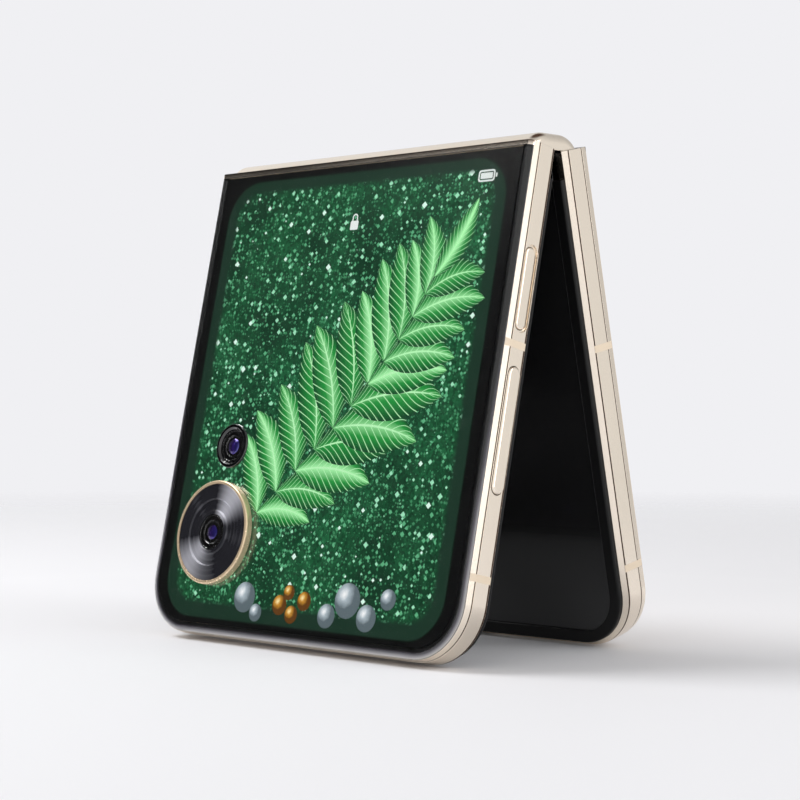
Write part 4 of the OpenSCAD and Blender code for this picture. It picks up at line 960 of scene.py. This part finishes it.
def leaf_finish():
    """Bright green by the middle rib, deep green at the edge, side veins as a wave that slants outward."""
    material, shader = finish("lit_leaf", {"Base Color": paint(4, 20, 10), "Roughness": 0.4,
                                           "Emission Strength": 1.0})
    tree = material.node_tree
    uv = node(tree, "SeparateXYZ", {0: node(tree, "UVMap", uv_map="UVMap").outputs[0]})
    across = node(tree, "Math", {0: uv.outputs[1], 1: 0.5}, operation="SUBTRACT")
    away = node(tree, "Math", {0: across.outputs[0]}, operation="ABSOLUTE")
    slant = node(tree, "Math", {0: away.outputs[0], 1: -0.45, 2: uv.outputs[0]}, operation="MULTIPLY_ADD")
    turns = node(tree, "Math", {0: slant.outputs[0], 1: 75.0}, operation="MULTIPLY")
    wave = node(tree, "Math", {0: turns.outputs[0]}, operation="SINE")
    vein = node(tree, "MapRange", {"Value": wave.outputs[0], "From Min": 0.86, "From Max": 1.0})
    rib = node(tree, "MapRange", {"Value": away.outputs[0], "From Min": 0.03, "From Max": 0.012})
    line = node(tree, "Math", {0: vein.outputs[0], 1: rib.outputs[0]}, operation="MAXIMUM")
    tone = node(tree, "Attribute", attribute_name="tone")
    body = node(tree, "ValToRGB", {"Fac": node(tree, "Math", {
        0: node(tree, "Math", {0: away.outputs[0], 1: -1.5, 2: 0.75}, operation="MULTIPLY_ADD").outputs[0],
        1: tone.outputs["Fac"]}, operation="MULTIPLY").outputs[0]})
    ramp = body.color_ramp
    ramp.elements[0].color, ramp.elements[1].color = paint(8, 62, 34), paint(166, 246, 170)
    ramp.elements[1].position = 0.8
    ramp.elements.new(0.4).color = paint(34, 150, 62)
    glow = node(tree, "Mix", {"Factor": line.outputs[0], "A": body.outputs[0], "B": paint(190, 250, 190)},
                data_type="RGBA")
    tree.links.new(glow.outputs["Result"], shader.inputs["Emission Color"])
    return material


lit_leaf = leaf_finish()


def leaf_spray():
    """Leaves in pairs along a bent stalk, larger in the middle, each a hair above the last."""
    shell, random = Shell(FRONT), np.random.default_rng(7)
    stalk = lambda a: np.array([-13.0 + 30 * a + 6 * math.sin(2.4 * a), 62.0 - 41 * a])
    for k in range(11):
        a = k / 11
        foot = stalk(a)
        for side in (-1, 1):
            angle = math.radians(-54 + side * (62 - 20 * a) + random.uniform(-6, 6))
            length = (20.5 - 15 * abs(a - 0.42)) * random.uniform(0.9, 1.08)
            tip = foot + length * np.array([math.cos(angle), math.sin(angle)])
            leaf_patch(shell, foot, tip, length * 0.26, side * -1.4, LEAF_LEVEL + 0.0002 * (2 * k + side),
                       random.uniform(0.55, 1.25))
    leaf_patch(shell, stalk(0.98), stalk(1.0) + np.array([7.0, -12.0]), 2.9, 0.8, LEAF_LEVEL + 0.005, 1.2)
    return shell.make("leaf_spray", lit_leaf, "front_half")


leaf_spray()

# %% [markdown]
# Low on the screen lie berries and drops: flat discs with a shade that runs from a bright spot near the upper left
# to a deep rim, which the eye reads as round. A few plain signs, a battery and a padlock, are white shapes.

# %% Berries, drops and signs
BERRY_LEVEL, SIGN_LEVEL = 6.7962, 6.7975


def berry_finish(name, deep, middle, bright):
    """The distance from a spot off the disc's middle picks a colour from bright to deep."""
    material, shader = finish(name, {"Base Color": paint(10, 10, 8), "Roughness": 0.4, "Emission Strength": 1.0})
    tree = material.node_tree
    uv = node(tree, "UVMap", uv_map="UVMap").outputs[0]
    away = node(tree, "VectorMath", {0: uv, 1: (-0.3, -0.35, 0)}, operation="DISTANCE")
    glint = node(tree, "TexNoise", {"Vector": uv, "Scale": 2.2, "Detail": 1.0})
    wavy = node(tree, "Math", {0: glint.outputs[0], 1: 0.35, 2: away.outputs["Value"]}, operation="MULTIPLY_ADD")
    ramp = node(tree, "ValToRGB", {"Fac": wavy.outputs[0]})
    stops = ramp.color_ramp.elements
    stops[0].color, stops[0].position = bright, 0.2
    stops[1].color, stops[1].position = deep, 1.0
    stops.new(0.55).color = middle
    tree.links.new(ramp.outputs[0], shader.inputs["Emission Color"])
    return material


def discs(name, material, places):
    """Each disc is a grid of angle and radius, and its map is the unit circle."""
    shell = Shell(FRONT)
    for k, (x, s, radius) in enumerate(places):
        angle, share = np.meshgrid(np.linspace(0, 2 * math.pi, 41), np.linspace(0, 1, 5), indexing="ij")
        uv = np.stack([share * np.cos(angle), share * np.sin(angle)], -1)
        level = np.full(angle.shape, BERRY_LEVEL + 0.0002 * k)
        points = np.stack([x + radius * uv[..., 0], level, s + radius * uv[..., 1]], -1)
        shell.grid(points, np.broadcast_to([0, 1.0, 0], points.shape), uv=uv)
    return shell.make(name, material, "front_half")


gold_berry = berry_finish("gold_berry", paint(96, 56, 10), paint(206, 146, 48), paint(255, 238, 176))
clear_drop = berry_finish("clear_drop", paint(92, 106, 112), paint(176, 190, 198), paint(252, 254, 255))
discs("gold_berries", gold_berry, [(-3.5, 77.2, 1.7), (-0.4, 78.6, 1.5), (-1.6, 75.0, 1.3), (2.3, 76.2, 1.6)])
discs("dew_drops", clear_drop, [(-12.5, 76.5, 2.6), (-9.2, 78.9, 1.5), (8.0, 78.2, 2.0), (12.4, 75.4, 2.9),
                                (17.2, 77.9, 2.2), (21.5, 74.6, 1.7)])


def box_line(left, top, far, bottom, radius):
    """A rectangle with round corners as a closed line."""
    corners = [(left, top), (far, top), (far, bottom), (left, bottom)]
    return rounded(corners, [radius] * 4, steps=5, closed=True)[0]


def signs():
    """A battery: frame, charge and cap. A padlock: body and bow."""
    shell = Shell(FRONT)
    level, outward = SIGN_LEVEL, (0, 1, 0)
    fill(shell, box_line(27.1, 4.4, 30.7, 6.4, 0.5), [box_line(27.4, 4.7, 30.4, 6.1, 0.3)], level, outward)
    fill(shell, box_line(27.6, 4.9, 30.2, 5.9, 0.15), [], level, outward)
    fill(shell, box_line(30.85, 5.05, 31.2, 5.75, 0.12), [], level, outward)
    fill(shell, box_line(-1.2, 11.1, 0.7, 12.7, 0.25), [], level, outward)
    turn = np.linspace(math.pi, 2 * math.pi, 17)
    bow = np.concatenate([[[-0.9, 11.2]],
                          np.column_stack([-0.25 + 0.65 * np.cos(turn), 10.5 + 0.65 * np.sin(turn)]),
                          [[0.4, 11.2], [0.15, 11.2]],
                          np.column_stack([-0.25 + 0.4 * np.cos(turn[::-1]), 10.5 + 0.4 * np.sin(turn[::-1])]),
                          [[-0.65, 11.2]]])
    fill(shell, bow, [], level, outward)
    return shell.make("screen_signs", white_sign, "front_half")


white_sign = berry_finish("white_sign", paint(225, 232, 228), paint(240, 244, 242), paint(250, 252, 251))
signs()

# %% [markdown]
# ## Cameras
# The main camera is a turned dark disc with fine rings, in a polished metal ring. A brushed disc throws the light
# into two bright fans, because its marks run round: we tell the shader so with a tangent that follows the map's
# first direction, which the lathe sends round the axis. The two fans are also painted into the disc's colour.

# %% Turned finishes


def turned_metal_painted_fans(name, dark, bright, rough, spin, scale):
    """Metal whose marks run round the axis. Rings come from noise over the radius. The bright fans of a turned
    face are a painted highlight at two sides of the axis: cos(2 angle), moved to 0..1 and raised to the
    fourth power, mixes dark and bright, with a small wave of five turns round the axis painted in as well."""
    material, shader = finish(name, {"Metallic": 0.5, "Anisotropic": spin})
    tree = material.node_tree
    uv = node(tree, "UVMap", uv_map="UVMap")
    rings = node(tree, "VectorMath", {0: uv.outputs[0], 1: (0.0, scale, 0.0)}, operation="MULTIPLY")
    noise = node(tree, "TexNoise", {"Vector": rings.outputs[0], "Scale": 1.0, "Detail": 2.0})
    angle = node(tree, "SeparateXYZ", {0: uv.outputs[0]})
    # Painted highlight: the two bright fans and their five-wave wobble are painted into the base colour.
    twice = node(tree, "Math", {0: angle.outputs[0], 1: 4 * math.pi, 2: 1.9}, operation="MULTIPLY_ADD")
    wave = node(tree, "Math", {0: node(tree, "Math", {0: twice.outputs[0]}, operation="COSINE").outputs[0], 1: 0.5,
                               2: 0.5}, operation="MULTIPLY_ADD")
    painted_fan_highlight = node(tree, "Math", {0: wave.outputs[0], 1: 4.0}, operation="POWER")
    five = node(tree, "Math", {0: angle.outputs[0], 1: 10 * math.pi, 2: 0.9}, operation="MULTIPLY_ADD")
    painted_fan_ripple = node(tree, "Math", {0: node(tree, "Math", {0: five.outputs[0]}, operation="SINE").outputs[0], 1: 0.12,
                                 2: painted_fan_highlight.outputs[0]}, operation="MULTIPLY_ADD")
    ringed = node(tree, "Math", {0: noise.outputs[0], 1: 0.3, 2: painted_fan_ripple.outputs[0]}, operation="MULTIPLY_ADD")
    share = node(tree, "MapRange", {"Value": ringed.outputs[0], "From Min": 0.24, "From Max": 1.35})
    tint = node(tree, "Mix", {"Factor": share.outputs[0], "A": dark, "B": bright}, data_type="RGBA")
    gloss = node(tree, "MapRange", {"Value": noise.outputs[0], "To Min": rough * 0.8, "To Max": rough * 1.2})
    tree.links.new(tint.outputs["Result"], shader.inputs["Base Color"])
    tree.links.new(gloss.outputs[0], shader.inputs["Roughness"])
    tangent = node(tree, "Tangent", direction_type="UV_MAP", uv_map="UVMap")
    tree.links.new(tangent.outputs[0], shader.inputs["Tangent"])
    return material


dark_turned_painted_fans = turned_metal_painted_fans("dark_turned_painted_fans", paint(46, 46, 52), paint(232, 232, 242), 0.22, 0.6, 16.0)
gloss_black = grained("gloss_black", paint(7, 7, 9), 0.2, 0.06, 0.03, 4000.0, Coat_Weight=1.0)[0]

# %% Ring, disc and lenses of the main camera
RING_TOP = DEPTH + 1.3


def turn_piece(name, middle, corners, radii, material, body, replaces, closed=True, steps=5):
    """Lathe a closed outline of (radius, depth) about a camera's middle."""
    shell = Shell(FRONT)
    points, normals = rounded(corners, radii, side=1, steps=steps, closed=closed)
    lathe(shell, middle, points, normals, closed=closed)
    return shell.make(name, material, body, replaces)


turn_piece("camera_rim", MAIN, [(7.75, 7.47), (7.75, 6.0), (8.15, 6.0), (8.15, 7.17), (9.1, 7.17), (9.1, RING_TOP),
                                (8.5, RING_TOP), (8.5, 7.47)][::-1], [0.02, 0.05, 0.28, 0.04, 0, 0, 0, 0],
           ring_gold, "front_half", ["camera_ring"], steps=6)


def camera_disc():
    """From the outside in: a flat ring, a polished step, a cone down to a second step, a cone up to the lens."""
    corners = [(8.45, 7.5), (8.45, RING_TOP - 0.12), (5.9, RING_TOP - 0.04), (5.7, RING_TOP - 0.3),
               (3.95, RING_TOP - 0.34), (3.75, RING_TOP - 0.1), (3.2, RING_TOP - 0.04), (3.12, RING_TOP - 0.6),
               (3.12, 6.3), (7.7, 6.3), (7.7, 7.5)]
    radii = [0, 0.08, 0.06, 0.06, 0.05, 0.06, 0.05, 0, 0, 0, 0]
    return turn_piece("camera_dial", MAIN, corners[::-1], radii[::-1], dark_turned_painted_fans, "front_half", ["camera_disc"])


camera_disc()


def lens_stack(name, middle, radius, top, base, glass_node):
    """A black barrel of three steps, a coated inner lens and a clear window, all between the camera below and
    the top. The inner lens is a shallow dome: depth = its top - size x (1 - cos), radius = size x sin."""
    high = top - base
    barrel = Shell(FRONT)
    points, normals = rounded([(0, base), (radius * 0.34, base), (radius * 0.4, base + 0.25 * high),
                               (radius * 0.62, base + 0.3 * high), (radius * 0.68, base + 0.55 * high),
                               (radius * 0.92, base + 0.6 * high), (radius * 0.95, top - 0.08),
                               (radius, top - 0.08), (radius, base - 0.01), (0, base - 0.01)],
                              [0, 0.03, 0.03, 0.03, 0.03, 0.03, 0.02, 0.02, 0, 0])
    lathe(barrel, middle, points, normals, steps=96)
    barrel.make(name + "_barrel", gloss_black, "front_half")
    inner = Shell(FRONT)
    widest = math.radians(24)
    bow = np.linspace(0, 1, 12)[:, None] * widest
    size = radius * 0.5 / math.sin(widest)
    dome = np.hstack([size * np.sin(bow), base + 0.68 * high - size * (1 - np.cos(bow))])
    lathe(inner, middle, dome, np.hstack([np.sin(bow), np.cos(bow)]), steps=64)
    inner.make(name + "_inner_lens", coated, "front_half")
    cover = Shell(FRONT)
    points, normals = rounded([(0, top), (radius * 0.93, top - 0.03), (radius * 0.94, top - 0.12), (0, top - 0.12)],
                              [0, 0.04, 0.02, 0])
    lathe(cover, middle, points, normals, steps=96)
    cover.make(name + "_window", clear, "front_half", [glass_node])


def coating_finish():
    """A lens coating: nearly black, with a blue to violet sheen that changes with the angle it is seen at."""
    material, shader = finish("lens_coating", {"Roughness": 0.08, "Metallic": 0.5, "Coat Weight": 1.0})
    tree = material.node_tree
    angle = node(tree, "LayerWeight", {"Blend": 0.4})
    noise = node(tree, "TexNoise", {"Vector": node(tree, "TexCoord").outputs["Object"], "Scale": 600.0})
    mixed = node(tree, "Math", {0: noise.outputs[0], 1: 0.2, 2: angle.outputs["Facing"]}, operation="MULTIPLY_ADD")
    ramp = node(tree, "ValToRGB", {"Fac": mixed.outputs[0]})
    ramp.color_ramp.elements[0].color, ramp.color_ramp.elements[1].color = paint(40, 58, 170), paint(24, 12, 44)
    ramp.color_ramp.elements.new(0.45).color = paint(72, 42, 140)
    tree.links.new(ramp.outputs[0], shader.inputs["Base Color"])
    return material


coated = coating_finish()
lens_stack("main_lens", MAIN, 3.1, RING_TOP - 0.05, 7.95, "main_lens_glass")
lens_stack("wide_lens", WIDE, 2.8, DEPTH + 0.25, 6.72, "wide_lens_glass")
turn_piece("wide_rim", WIDE, [(3.4, 6.6), (3.4, 7.17), (3.95, 7.17), (3.85, 7.55), (3.3, 7.62), (2.95, 7.3),
                              (2.85, 6.6)][::-1], [0, 0.1, 0.12, 0.12, 0.03, 0, 0], gloss_black, "front_half",
           ["wide_lens_trim"])

# %% [markdown]
# ## The folding screen and its soft frame
# Inside, one flexible screen covers both halves and bends in the hinge. When the phone moves, the bend changes
# shape, so the screen is made as two sheets that meet at the crease.

# %% The folding film
FILM_DEPTH, FILM_T, FILM_RUN = 0.45, 0.25, 4.6
FILM_HALF, FILM_END = 34.95, 80.8
film_depth = FILM_DEPTH + FILM_T / 2
film_y = AXIS + (film_depth - AXIS_DEPTH) * math.cos(TILT) + (FILM_RUN - AXIS) * math.sin(TILT)
film_z = (film_depth - AXIS_DEPTH) * math.sin(TILT) - (FILM_RUN - AXIS) * math.cos(TILT)
FILM_RADIUS = (film_y - FILM_RUN * math.sin(TILT)) / (math.cos(TILT) - (math.pi / 2 - TILT) * math.sin(TILT))
film_leg = FILM_RUN - FILM_RADIUS * (math.pi / 2 - TILT)
FILM_TOP = film_z + film_leg * math.cos(TILT) - FILM_RADIUS * math.sin(TILT)


def strip_line(radius, centre_z, leg_end, side, rows):
    """Points and outward normals, in the plane across the hinge, of a strip that arches over the middle and
    runs down a half: an arc of a quarter turn less the tilt, then a straight leg. side is -1 for the front."""
    bend = np.linspace(0, math.pi / 2 - TILT, rows)
    arc = np.column_stack([side * radius * np.sin(bend), centre_z + radius * np.cos(bend)])
    out = np.column_stack([side * np.sin(bend), np.cos(bend)])
    down = np.array([side * math.sin(TILT), -math.cos(TILT)])
    leg = arc[-1] + np.array(leg_end)[:, None] * down
    return np.concatenate([arc, leg]), np.concatenate([out, np.repeat(out[-1:], len(leg), 0)])


def film_sheet(name, side, replaces):
    """Columns go across the phone, rows from the crease to the free end, where the width follows two round
    corners: half width = width - corner + sqrt(corner^2 - distance past it^2). The sheet has two faces and a wall
    round it; the visible face looks into the fold."""
    corner = CORNER - 2.85
    total = film_leg + FILM_END - FILM_RUN
    flat_end = total - corner
    turn = np.linspace(0, math.pi / 2, 12)[1:]
    legs = np.concatenate([np.linspace(0.4, 6, 8), np.linspace(12, flat_end, 6), flat_end + corner * np.sin(turn)])
    line, out = strip_line(FILM_RADIUS, FILM_TOP, legs, side, 14)
    past = np.concatenate([np.zeros(14), legs]) - flat_end
    half = FILM_HALF - corner + np.sqrt(np.maximum(corner ** 2 - np.maximum(past, 0) ** 2, 0))
    share = np.concatenate([[-1, -0.998], np.linspace(-0.99, 0.99, 19), [0.998, 1]])
    x = half[:, None] * share[None, :]
    length = np.concatenate([FILM_RADIUS * np.linspace(0, math.pi / 2 - TILT, 14),
                             FILM_RADIUS * (math.pi / 2 - TILT) + legs])
    uv = np.stack([x / 100, np.broadcast_to(length[:, None] / 100, x.shape)], -1)
    shell = Shell(spine_place)
    faces = []
    for way in (-1, 1):
        flat = line + way * out * FILM_T / 2
        points = np.stack([x, np.broadcast_to(flat[:, :1], x.shape), np.broadcast_to(flat[:, 1:], x.shape)], -1)
        normals = np.stack([0 * x, np.broadcast_to(way * out[:, :1], x.shape),
                            np.broadcast_to(way * out[:, 1:], x.shape)], -1)
        shell.grid(points, normals, uv=uv)
        faces.append(points)
    for edge in (0, -1):
        wall = np.stack([faces[0][:, edge], faces[1][:, edge]], 1)
        shell.grid(wall, np.broadcast_to([math.copysign(1.0, -0.5 - edge) * -1, 0, 0], wall.shape))
    tail = np.stack([faces[0][-1], faces[1][-1]], 1)
    shell.grid(tail, np.broadcast_to([0, side * math.sin(TILT), -math.cos(TILT)], tail.shape))
    crease = np.stack([faces[0][0], faces[1][0]], 1)
    shell.grid(crease, np.broadcast_to([0, -1.0 * side, 0], crease.shape))
    piece = shell.make(name, film_finish, None, replaces)
    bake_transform(piece)
    return piece


film_finish = grained("folding_screen_film", paint(24, 24, 25), 0.1, 0.16, 0.03, 700.0, Coat_Weight=0.3)[0]
film_sheet("folding_screen_front", -1, ["fold_film", "front_inner_display"])
film_sheet("folding_screen_rear", 1, ["fold_film", "rear_inner_display"])

# %% The flexible cable over the hinge


def flex_strip(name, side):
    """The cable follows the same kind of line, with a larger loop, under the spine's arch."""
    depth, run, centre_z, half, thick = 1.93, 11.0, 0.3, 5.0, 0.12
    y = AXIS + (depth - AXIS_DEPTH) * math.cos(TILT) + (run - AXIS) * math.sin(TILT)
    z = (depth - AXIS_DEPTH) * math.sin(TILT) - (run - AXIS) * math.cos(TILT)
    radius = y * math.cos(TILT) - (centre_z - z) * math.sin(TILT)
    leg = y * math.sin(TILT) + (centre_z - z) * math.cos(TILT)
    line, out = strip_line(radius, centre_z, np.linspace(0.3, leg, 8), side, 14)
    ring = np.array([[-half, -1], [half, -1], [half, 1], [-half, 1]])
    ways = np.array([[0, -1], [1, 0], [0, 1], [-1, 0]])
    shell = Shell(spine_place)
    for k in range(4):
        pair = ring[[k, (k + 1) % 4]]
        rows = [np.column_stack([np.full(len(line), x), line + way * out * thick / 2]) for x, way in pair]
        points = np.stack(rows, 1)
        normal = np.column_stack([np.full(len(line), ways[k][0]), ways[k][1] * out])
        shell.grid(points, np.stack([normal, normal], 1))
    tail = np.array([[x, *(line[-1] + way * out[-1] * thick / 2)] for x, way in ring]).reshape(2, 2, 3)
    tail[1] = tail[1][::-1]
    shell.grid(tail, np.broadcast_to([0, side * math.sin(TILT), -math.cos(TILT)], tail.shape))
    piece = shell.make(name, flex_copper, None, ["hinge_flex"])
    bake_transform(piece)
    return piece


flex_copper = grained("polyimide", paint(176, 112, 40), 0.15, 0.3, 0.1, 1500.0, (1, 6, 6))[0]
flex_strip("flex_front", -1)
flex_strip("flex_rear", 1)

# %% [markdown]
# The inner camera looks out of a small round window in the front half's screen: a black disc with a coated lens.

# %% The window of the inner camera


def inner_window(name, radius, level, material, bow):
    """A disc a hair above the film, bowed a little: depth = level + bow x (radius share)^2, facing the fold."""
    shell = Shell(FRONT)
    share = np.linspace(0, 1, 10)
    profile = np.column_stack([radius * share, level + bow * share ** 2])
    lathe(shell, (0.0, 76.25), profile, np.column_stack([-2 * bow * share / radius, -np.ones(10)]), steps=64)
    return shell.make(name, material, "front_half")


inner_window("inner_camera_window", 1.9, 0.43, gloss_black, 0.018)
inner_window("inner_camera_lens", 0.8, 0.42, coated, 0.008)

# %% [markdown]
# The soft frame is a low black cushion round the screen. It keeps the halves apart when the phone is shut. Its
# profile is a closed outline with generous radii, swept round the half from the fold, and it laps over the
# screen's edge.

# %% The soft frame round the folding screen


def soft_frame(name, place, body, node_name):
    """Sweep the closed outline and fill its two ends at the fold."""
    shell = Shell(place)
    corners = [(0.77, 0.97), (0.77, 0.0), (2.9, 0.0), (2.9, 0.43), (2.72, 0.43), (2.72, 0.97)]
    points, normals = rounded(corners, [0.06, 0.4, 0.22, 0.06, 0.06, 0.06], side=-1, steps=8, closed=True)
    shell.grid(*sweep(half_track(FILM_RUN, 0.05), points, normals), closed=(False, True))
    inner = points - 0.05 * normals
    for side in (1, -1):
        flat = np.column_stack([side * (HALF_WIDTH - inner[:, 0]), inner[:, 1]])
        fill(shell, flat, [], FILM_RUN, (0, 0, -1), (0, 2, 1))
    return shell.make(name, black_soft, body, [node_name])


soft_frame("front_soft_frame", FRONT, "front_half", "front_bezel")
soft_frame("rear_soft_frame", REAR, "rear_half", "rear_bezel")

# %% [markdown]
# ## The parts inside
# The boards, batteries and hinge parts are the frame's own solids, and their shapes are right as they are. They
# get finishes of their own, because they show when the phone is taken apart.

# %% Finishes for the inner parts
board = grained("solder_mask", paint(12, 66, 42), 0.2, 0.35, 0.1, 1800.0, relief=0.1)[0]
pouch = grained("battery_pouch", paint(40, 40, 43), 0.12, 0.4, 0.12, 900.0, relief=0.2)[0]
graphite = grained("graphite_sheet", paint(52, 52, 55), 0.15, 0.45, 0.1, 2500.0, relief=0.1)[0]
module_black = grained("module_black", paint(24, 24, 26), 0.15, 0.45, 0.1, 2500.0, relief=0.1)[0]
card_white = grained("card_white", paint(222, 220, 212), 0.04, 0.4, 0.08, 1500.0)[0]
dress = {
    steel: ["hinge_base_left", "hinge_base_right", "hinge_pins", "detent_springs", "front_hinge_arm_left",
            "front_hinge_arm_right", "rear_hinge_arm_left", "rear_hinge_arm_right", "front_support_plate",
            "rear_support_plate", "usb_port", "shield_cans", "card_reader", "vibration_motor", "front_magnets",
            "rear_magnets"],
    brass: ["detent_sliders", "timing_gear_front_left", "timing_gear_rear_left", "timing_gear_front_right",
            "timing_gear_rear_right"],
    black_screw: ["front_arm_screws", "rear_arm_screws", "front_board_screws", "rear_board_screws"],
    board: ["mainboard", "sub_board"], pouch: ["front_battery", "rear_battery"], graphite: ["heat_spreader"],
    module_black: ["main_camera_module", "wide_camera_module", "earpiece", "loudspeaker"],
    gloss_black: ["selfie_camera"], flex_copper: ["front_flex_cables"], card_white: ["sim_card"],
    champagne: ["card_tray"]}
for material, names in dress.items():
    for name in names:
        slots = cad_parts[name].data.materials
        slots.clear()
        slots.append(material)
print(sum(map(len, dress.values())), "inner parts dressed")

# %% [markdown]
# ## The studio
# The phone stands on a pale floor. The world is soft white light, brightest round the horizon. One dark flag hangs
# where the cover glass mirrors it: a glossy black face looks black only when it mirrors something dark. A small
# brown patch nearly overhead draws the dark crescent on the spine's round end, since metal needs a dark edge in its
# reflections. The camera sees none of this, only the plain backdrop.

# %% World, lamps and floor
BACKDROP = paint(240, 240, 243)


def world_light():
    """Light = white round the horizon, dimmer above and behind, times a soft dark flag about one direction. Near
    another direction its colour turns brown."""
    world = bpy.data.worlds.new("studio")
    world.use_nodes = True
    tree = world.node_tree
    tree.nodes.clear()
    ray = node(tree, "TexCoord").outputs["Generated"]
    flag_way = Vector((-0.70, -0.65, 0.30)).normalized()
    near = node(tree, "VectorMath", {0: ray, 1: flag_way}, operation="DOT_PRODUCT")
    flag = node(tree, "MapRange", {"Value": near.outputs["Value"], "From Min": math.cos(math.radians(38)),
                                   "From Max": math.cos(math.radians(26)), "To Min": 1.0, "To Max": 0.02})
    up = node(tree, "SeparateXYZ", {0: ray})
    height = node(tree, "MapRange", {"Value": up.outputs[2], "From Min": 0.1, "From Max": 0.95, "To Min": 1.0,
                                     "To Max": 0.5})
    across = node(tree, "MapRange", {"Value": up.outputs[1], "From Min": 0.4, "From Max": 0.95, "To Min": 1.1,
                                     "To Max": 0.6})
    both = node(tree, "Math", {0: height.outputs[0], 1: across.outputs[0]}, operation="MULTIPLY")
    level = node(tree, "Math", {0: flag.outputs[0], 1: both.outputs[0]}, operation="MULTIPLY")
    brown_way = Vector((-0.1, 0.37, 0.92)).normalized()
    close = node(tree, "VectorMath", {0: ray, 1: brown_way}, operation="DOT_PRODUCT")
    brown = node(tree, "MapRange", {"Value": close.outputs["Value"], "From Min": math.cos(math.radians(26)),
                                    "From Max": math.cos(math.radians(16)), "To Min": 0.0, "To Max": 1.0})
    tint = node(tree, "Mix", {"Factor": brown.outputs[0], "A": (1, 1, 1, 1), "B": paint(92, 62, 44)},
                data_type="RGBA")
    light = node(tree, "Background", {"Color": tint.outputs["Result"], "Strength": level.outputs[0]})
    seen = node(tree, "Background", {"Color": BACKDROP, "Strength": 1.0})
    path = node(tree, "LightPath")
    mix = node(tree, "MixShader", {0: path.outputs["Is Camera Ray"], 1: light.outputs[0], 2: seen.outputs[0]})
    out = tree.nodes.new("ShaderNodeOutputWorld")
    tree.links.new(mix.outputs[0], out.inputs[0])
    bpy.context.scene.world = world


def lamp(name, place, target, size, power):
    """A soft box that looks at its target."""
    data = bpy.data.lights.new(name, "AREA")
    data.shape, data.size, data.size_y, data.energy = "RECTANGLE", size[0], size[1], power
    made = bpy.data.objects.new(name, data)
    bpy.context.scene.collection.objects.link(made)
    made.location = place
    made.rotation_euler = (Vector(target) - Vector(place)).to_track_quat("-Z", "Y").to_euler()


def floor():
    """A round floor that fades into the backdrop towards its edge."""
    mesh = bpy.data.meshes.new("floor")
    ring = np.column_stack([circle((0, 0), 1.2, 64), np.zeros(64)])
    mesh.from_pydata(ring.tolist(), [], [list(range(64))])
    made = bpy.data.objects.new("floor", mesh)
    bpy.context.scene.collection.objects.link(made)
    made.location.z = -0.0002
    material, shader = finish("pale_floor", {"Base Color": paint(238, 238, 241), "Roughness": 0.7,
                                             "Specular IOR Level": 0.1})
    tree = material.node_tree
    where = node(tree, "TexCoord")
    away = node(tree, "VectorMath", {0: where.outputs["Object"]}, operation="LENGTH")
    fade = node(tree, "MapRange", {"Value": away.outputs["Value"], "From Min": 0.15, "From Max": 0.6})
    clear_part = node(tree, "BsdfTransparent")
    mix = node(tree, "MixShader", {0: fade.outputs[0], 1: shader.outputs[0], 2: clear_part.outputs[0]})
    tree.links.new(mix.outputs[0], tree.nodes["Material Output"].inputs[0])
    mesh.materials.append(material)


world_light()
lamp("key_light", (-0.35, -0.25, 0.55), (0, 0, 0.04), (0.35, 0.35), 2.9)
lamp("side_light", (0.5, 0.1, 0.25), (0, 0, 0.04), (0.25, 0.5), 0.8)
floor()

# %% [markdown]
# ## The camera
# The picture was taken almost level with the phone, a little over a third of a metre away, from in front of the
# corner. The camera's way is worked out from its azimuth, its height angle and a tiny roll.

# %% The camera
AZIMUTH, HEIGHT_ANGLE, ROLL = math.radians(44.73), math.radians(-0.016), math.radians(0.093)
DISTANCE, SIDE_STEP, UP_STEP = 354.555, 1.114, 1.728
back = Vector((math.sin(AZIMUTH) * math.cos(HEIGHT_ANGLE), -math.cos(AZIMUTH) * math.cos(HEIGHT_ANGLE),
               math.sin(HEIGHT_ANGLE)))
right = Vector((math.cos(AZIMUTH), math.sin(AZIMUTH), 0))
up = back.cross(right)
spot = Vector((0, 0, -40)) + back * DISTANCE + right * SIDE_STEP + up * UP_STEP
spot = (spot + Vector((-CENTRE_SHIFT, 0, AXIS_HEIGHT))) / 1000
turned = Matrix((right, up, back)).transposed() @ Matrix.Rotation(ROLL, 3, "Z")
camera = bpy.data.objects.new("camera", bpy.data.cameras.new("camera"))
camera.data.lens, camera.data.sensor_width = 92.18, 36
camera.matrix_world = Matrix.Translation(spot) @ turned.to_4x4()
bpy.context.scene.collection.objects.link(camera)
bpy.context.scene.camera = camera
bpy.context.scene.view_settings.view_transform = "Standard"
print("the camera stands at", [round(v, 4) for v in spot])
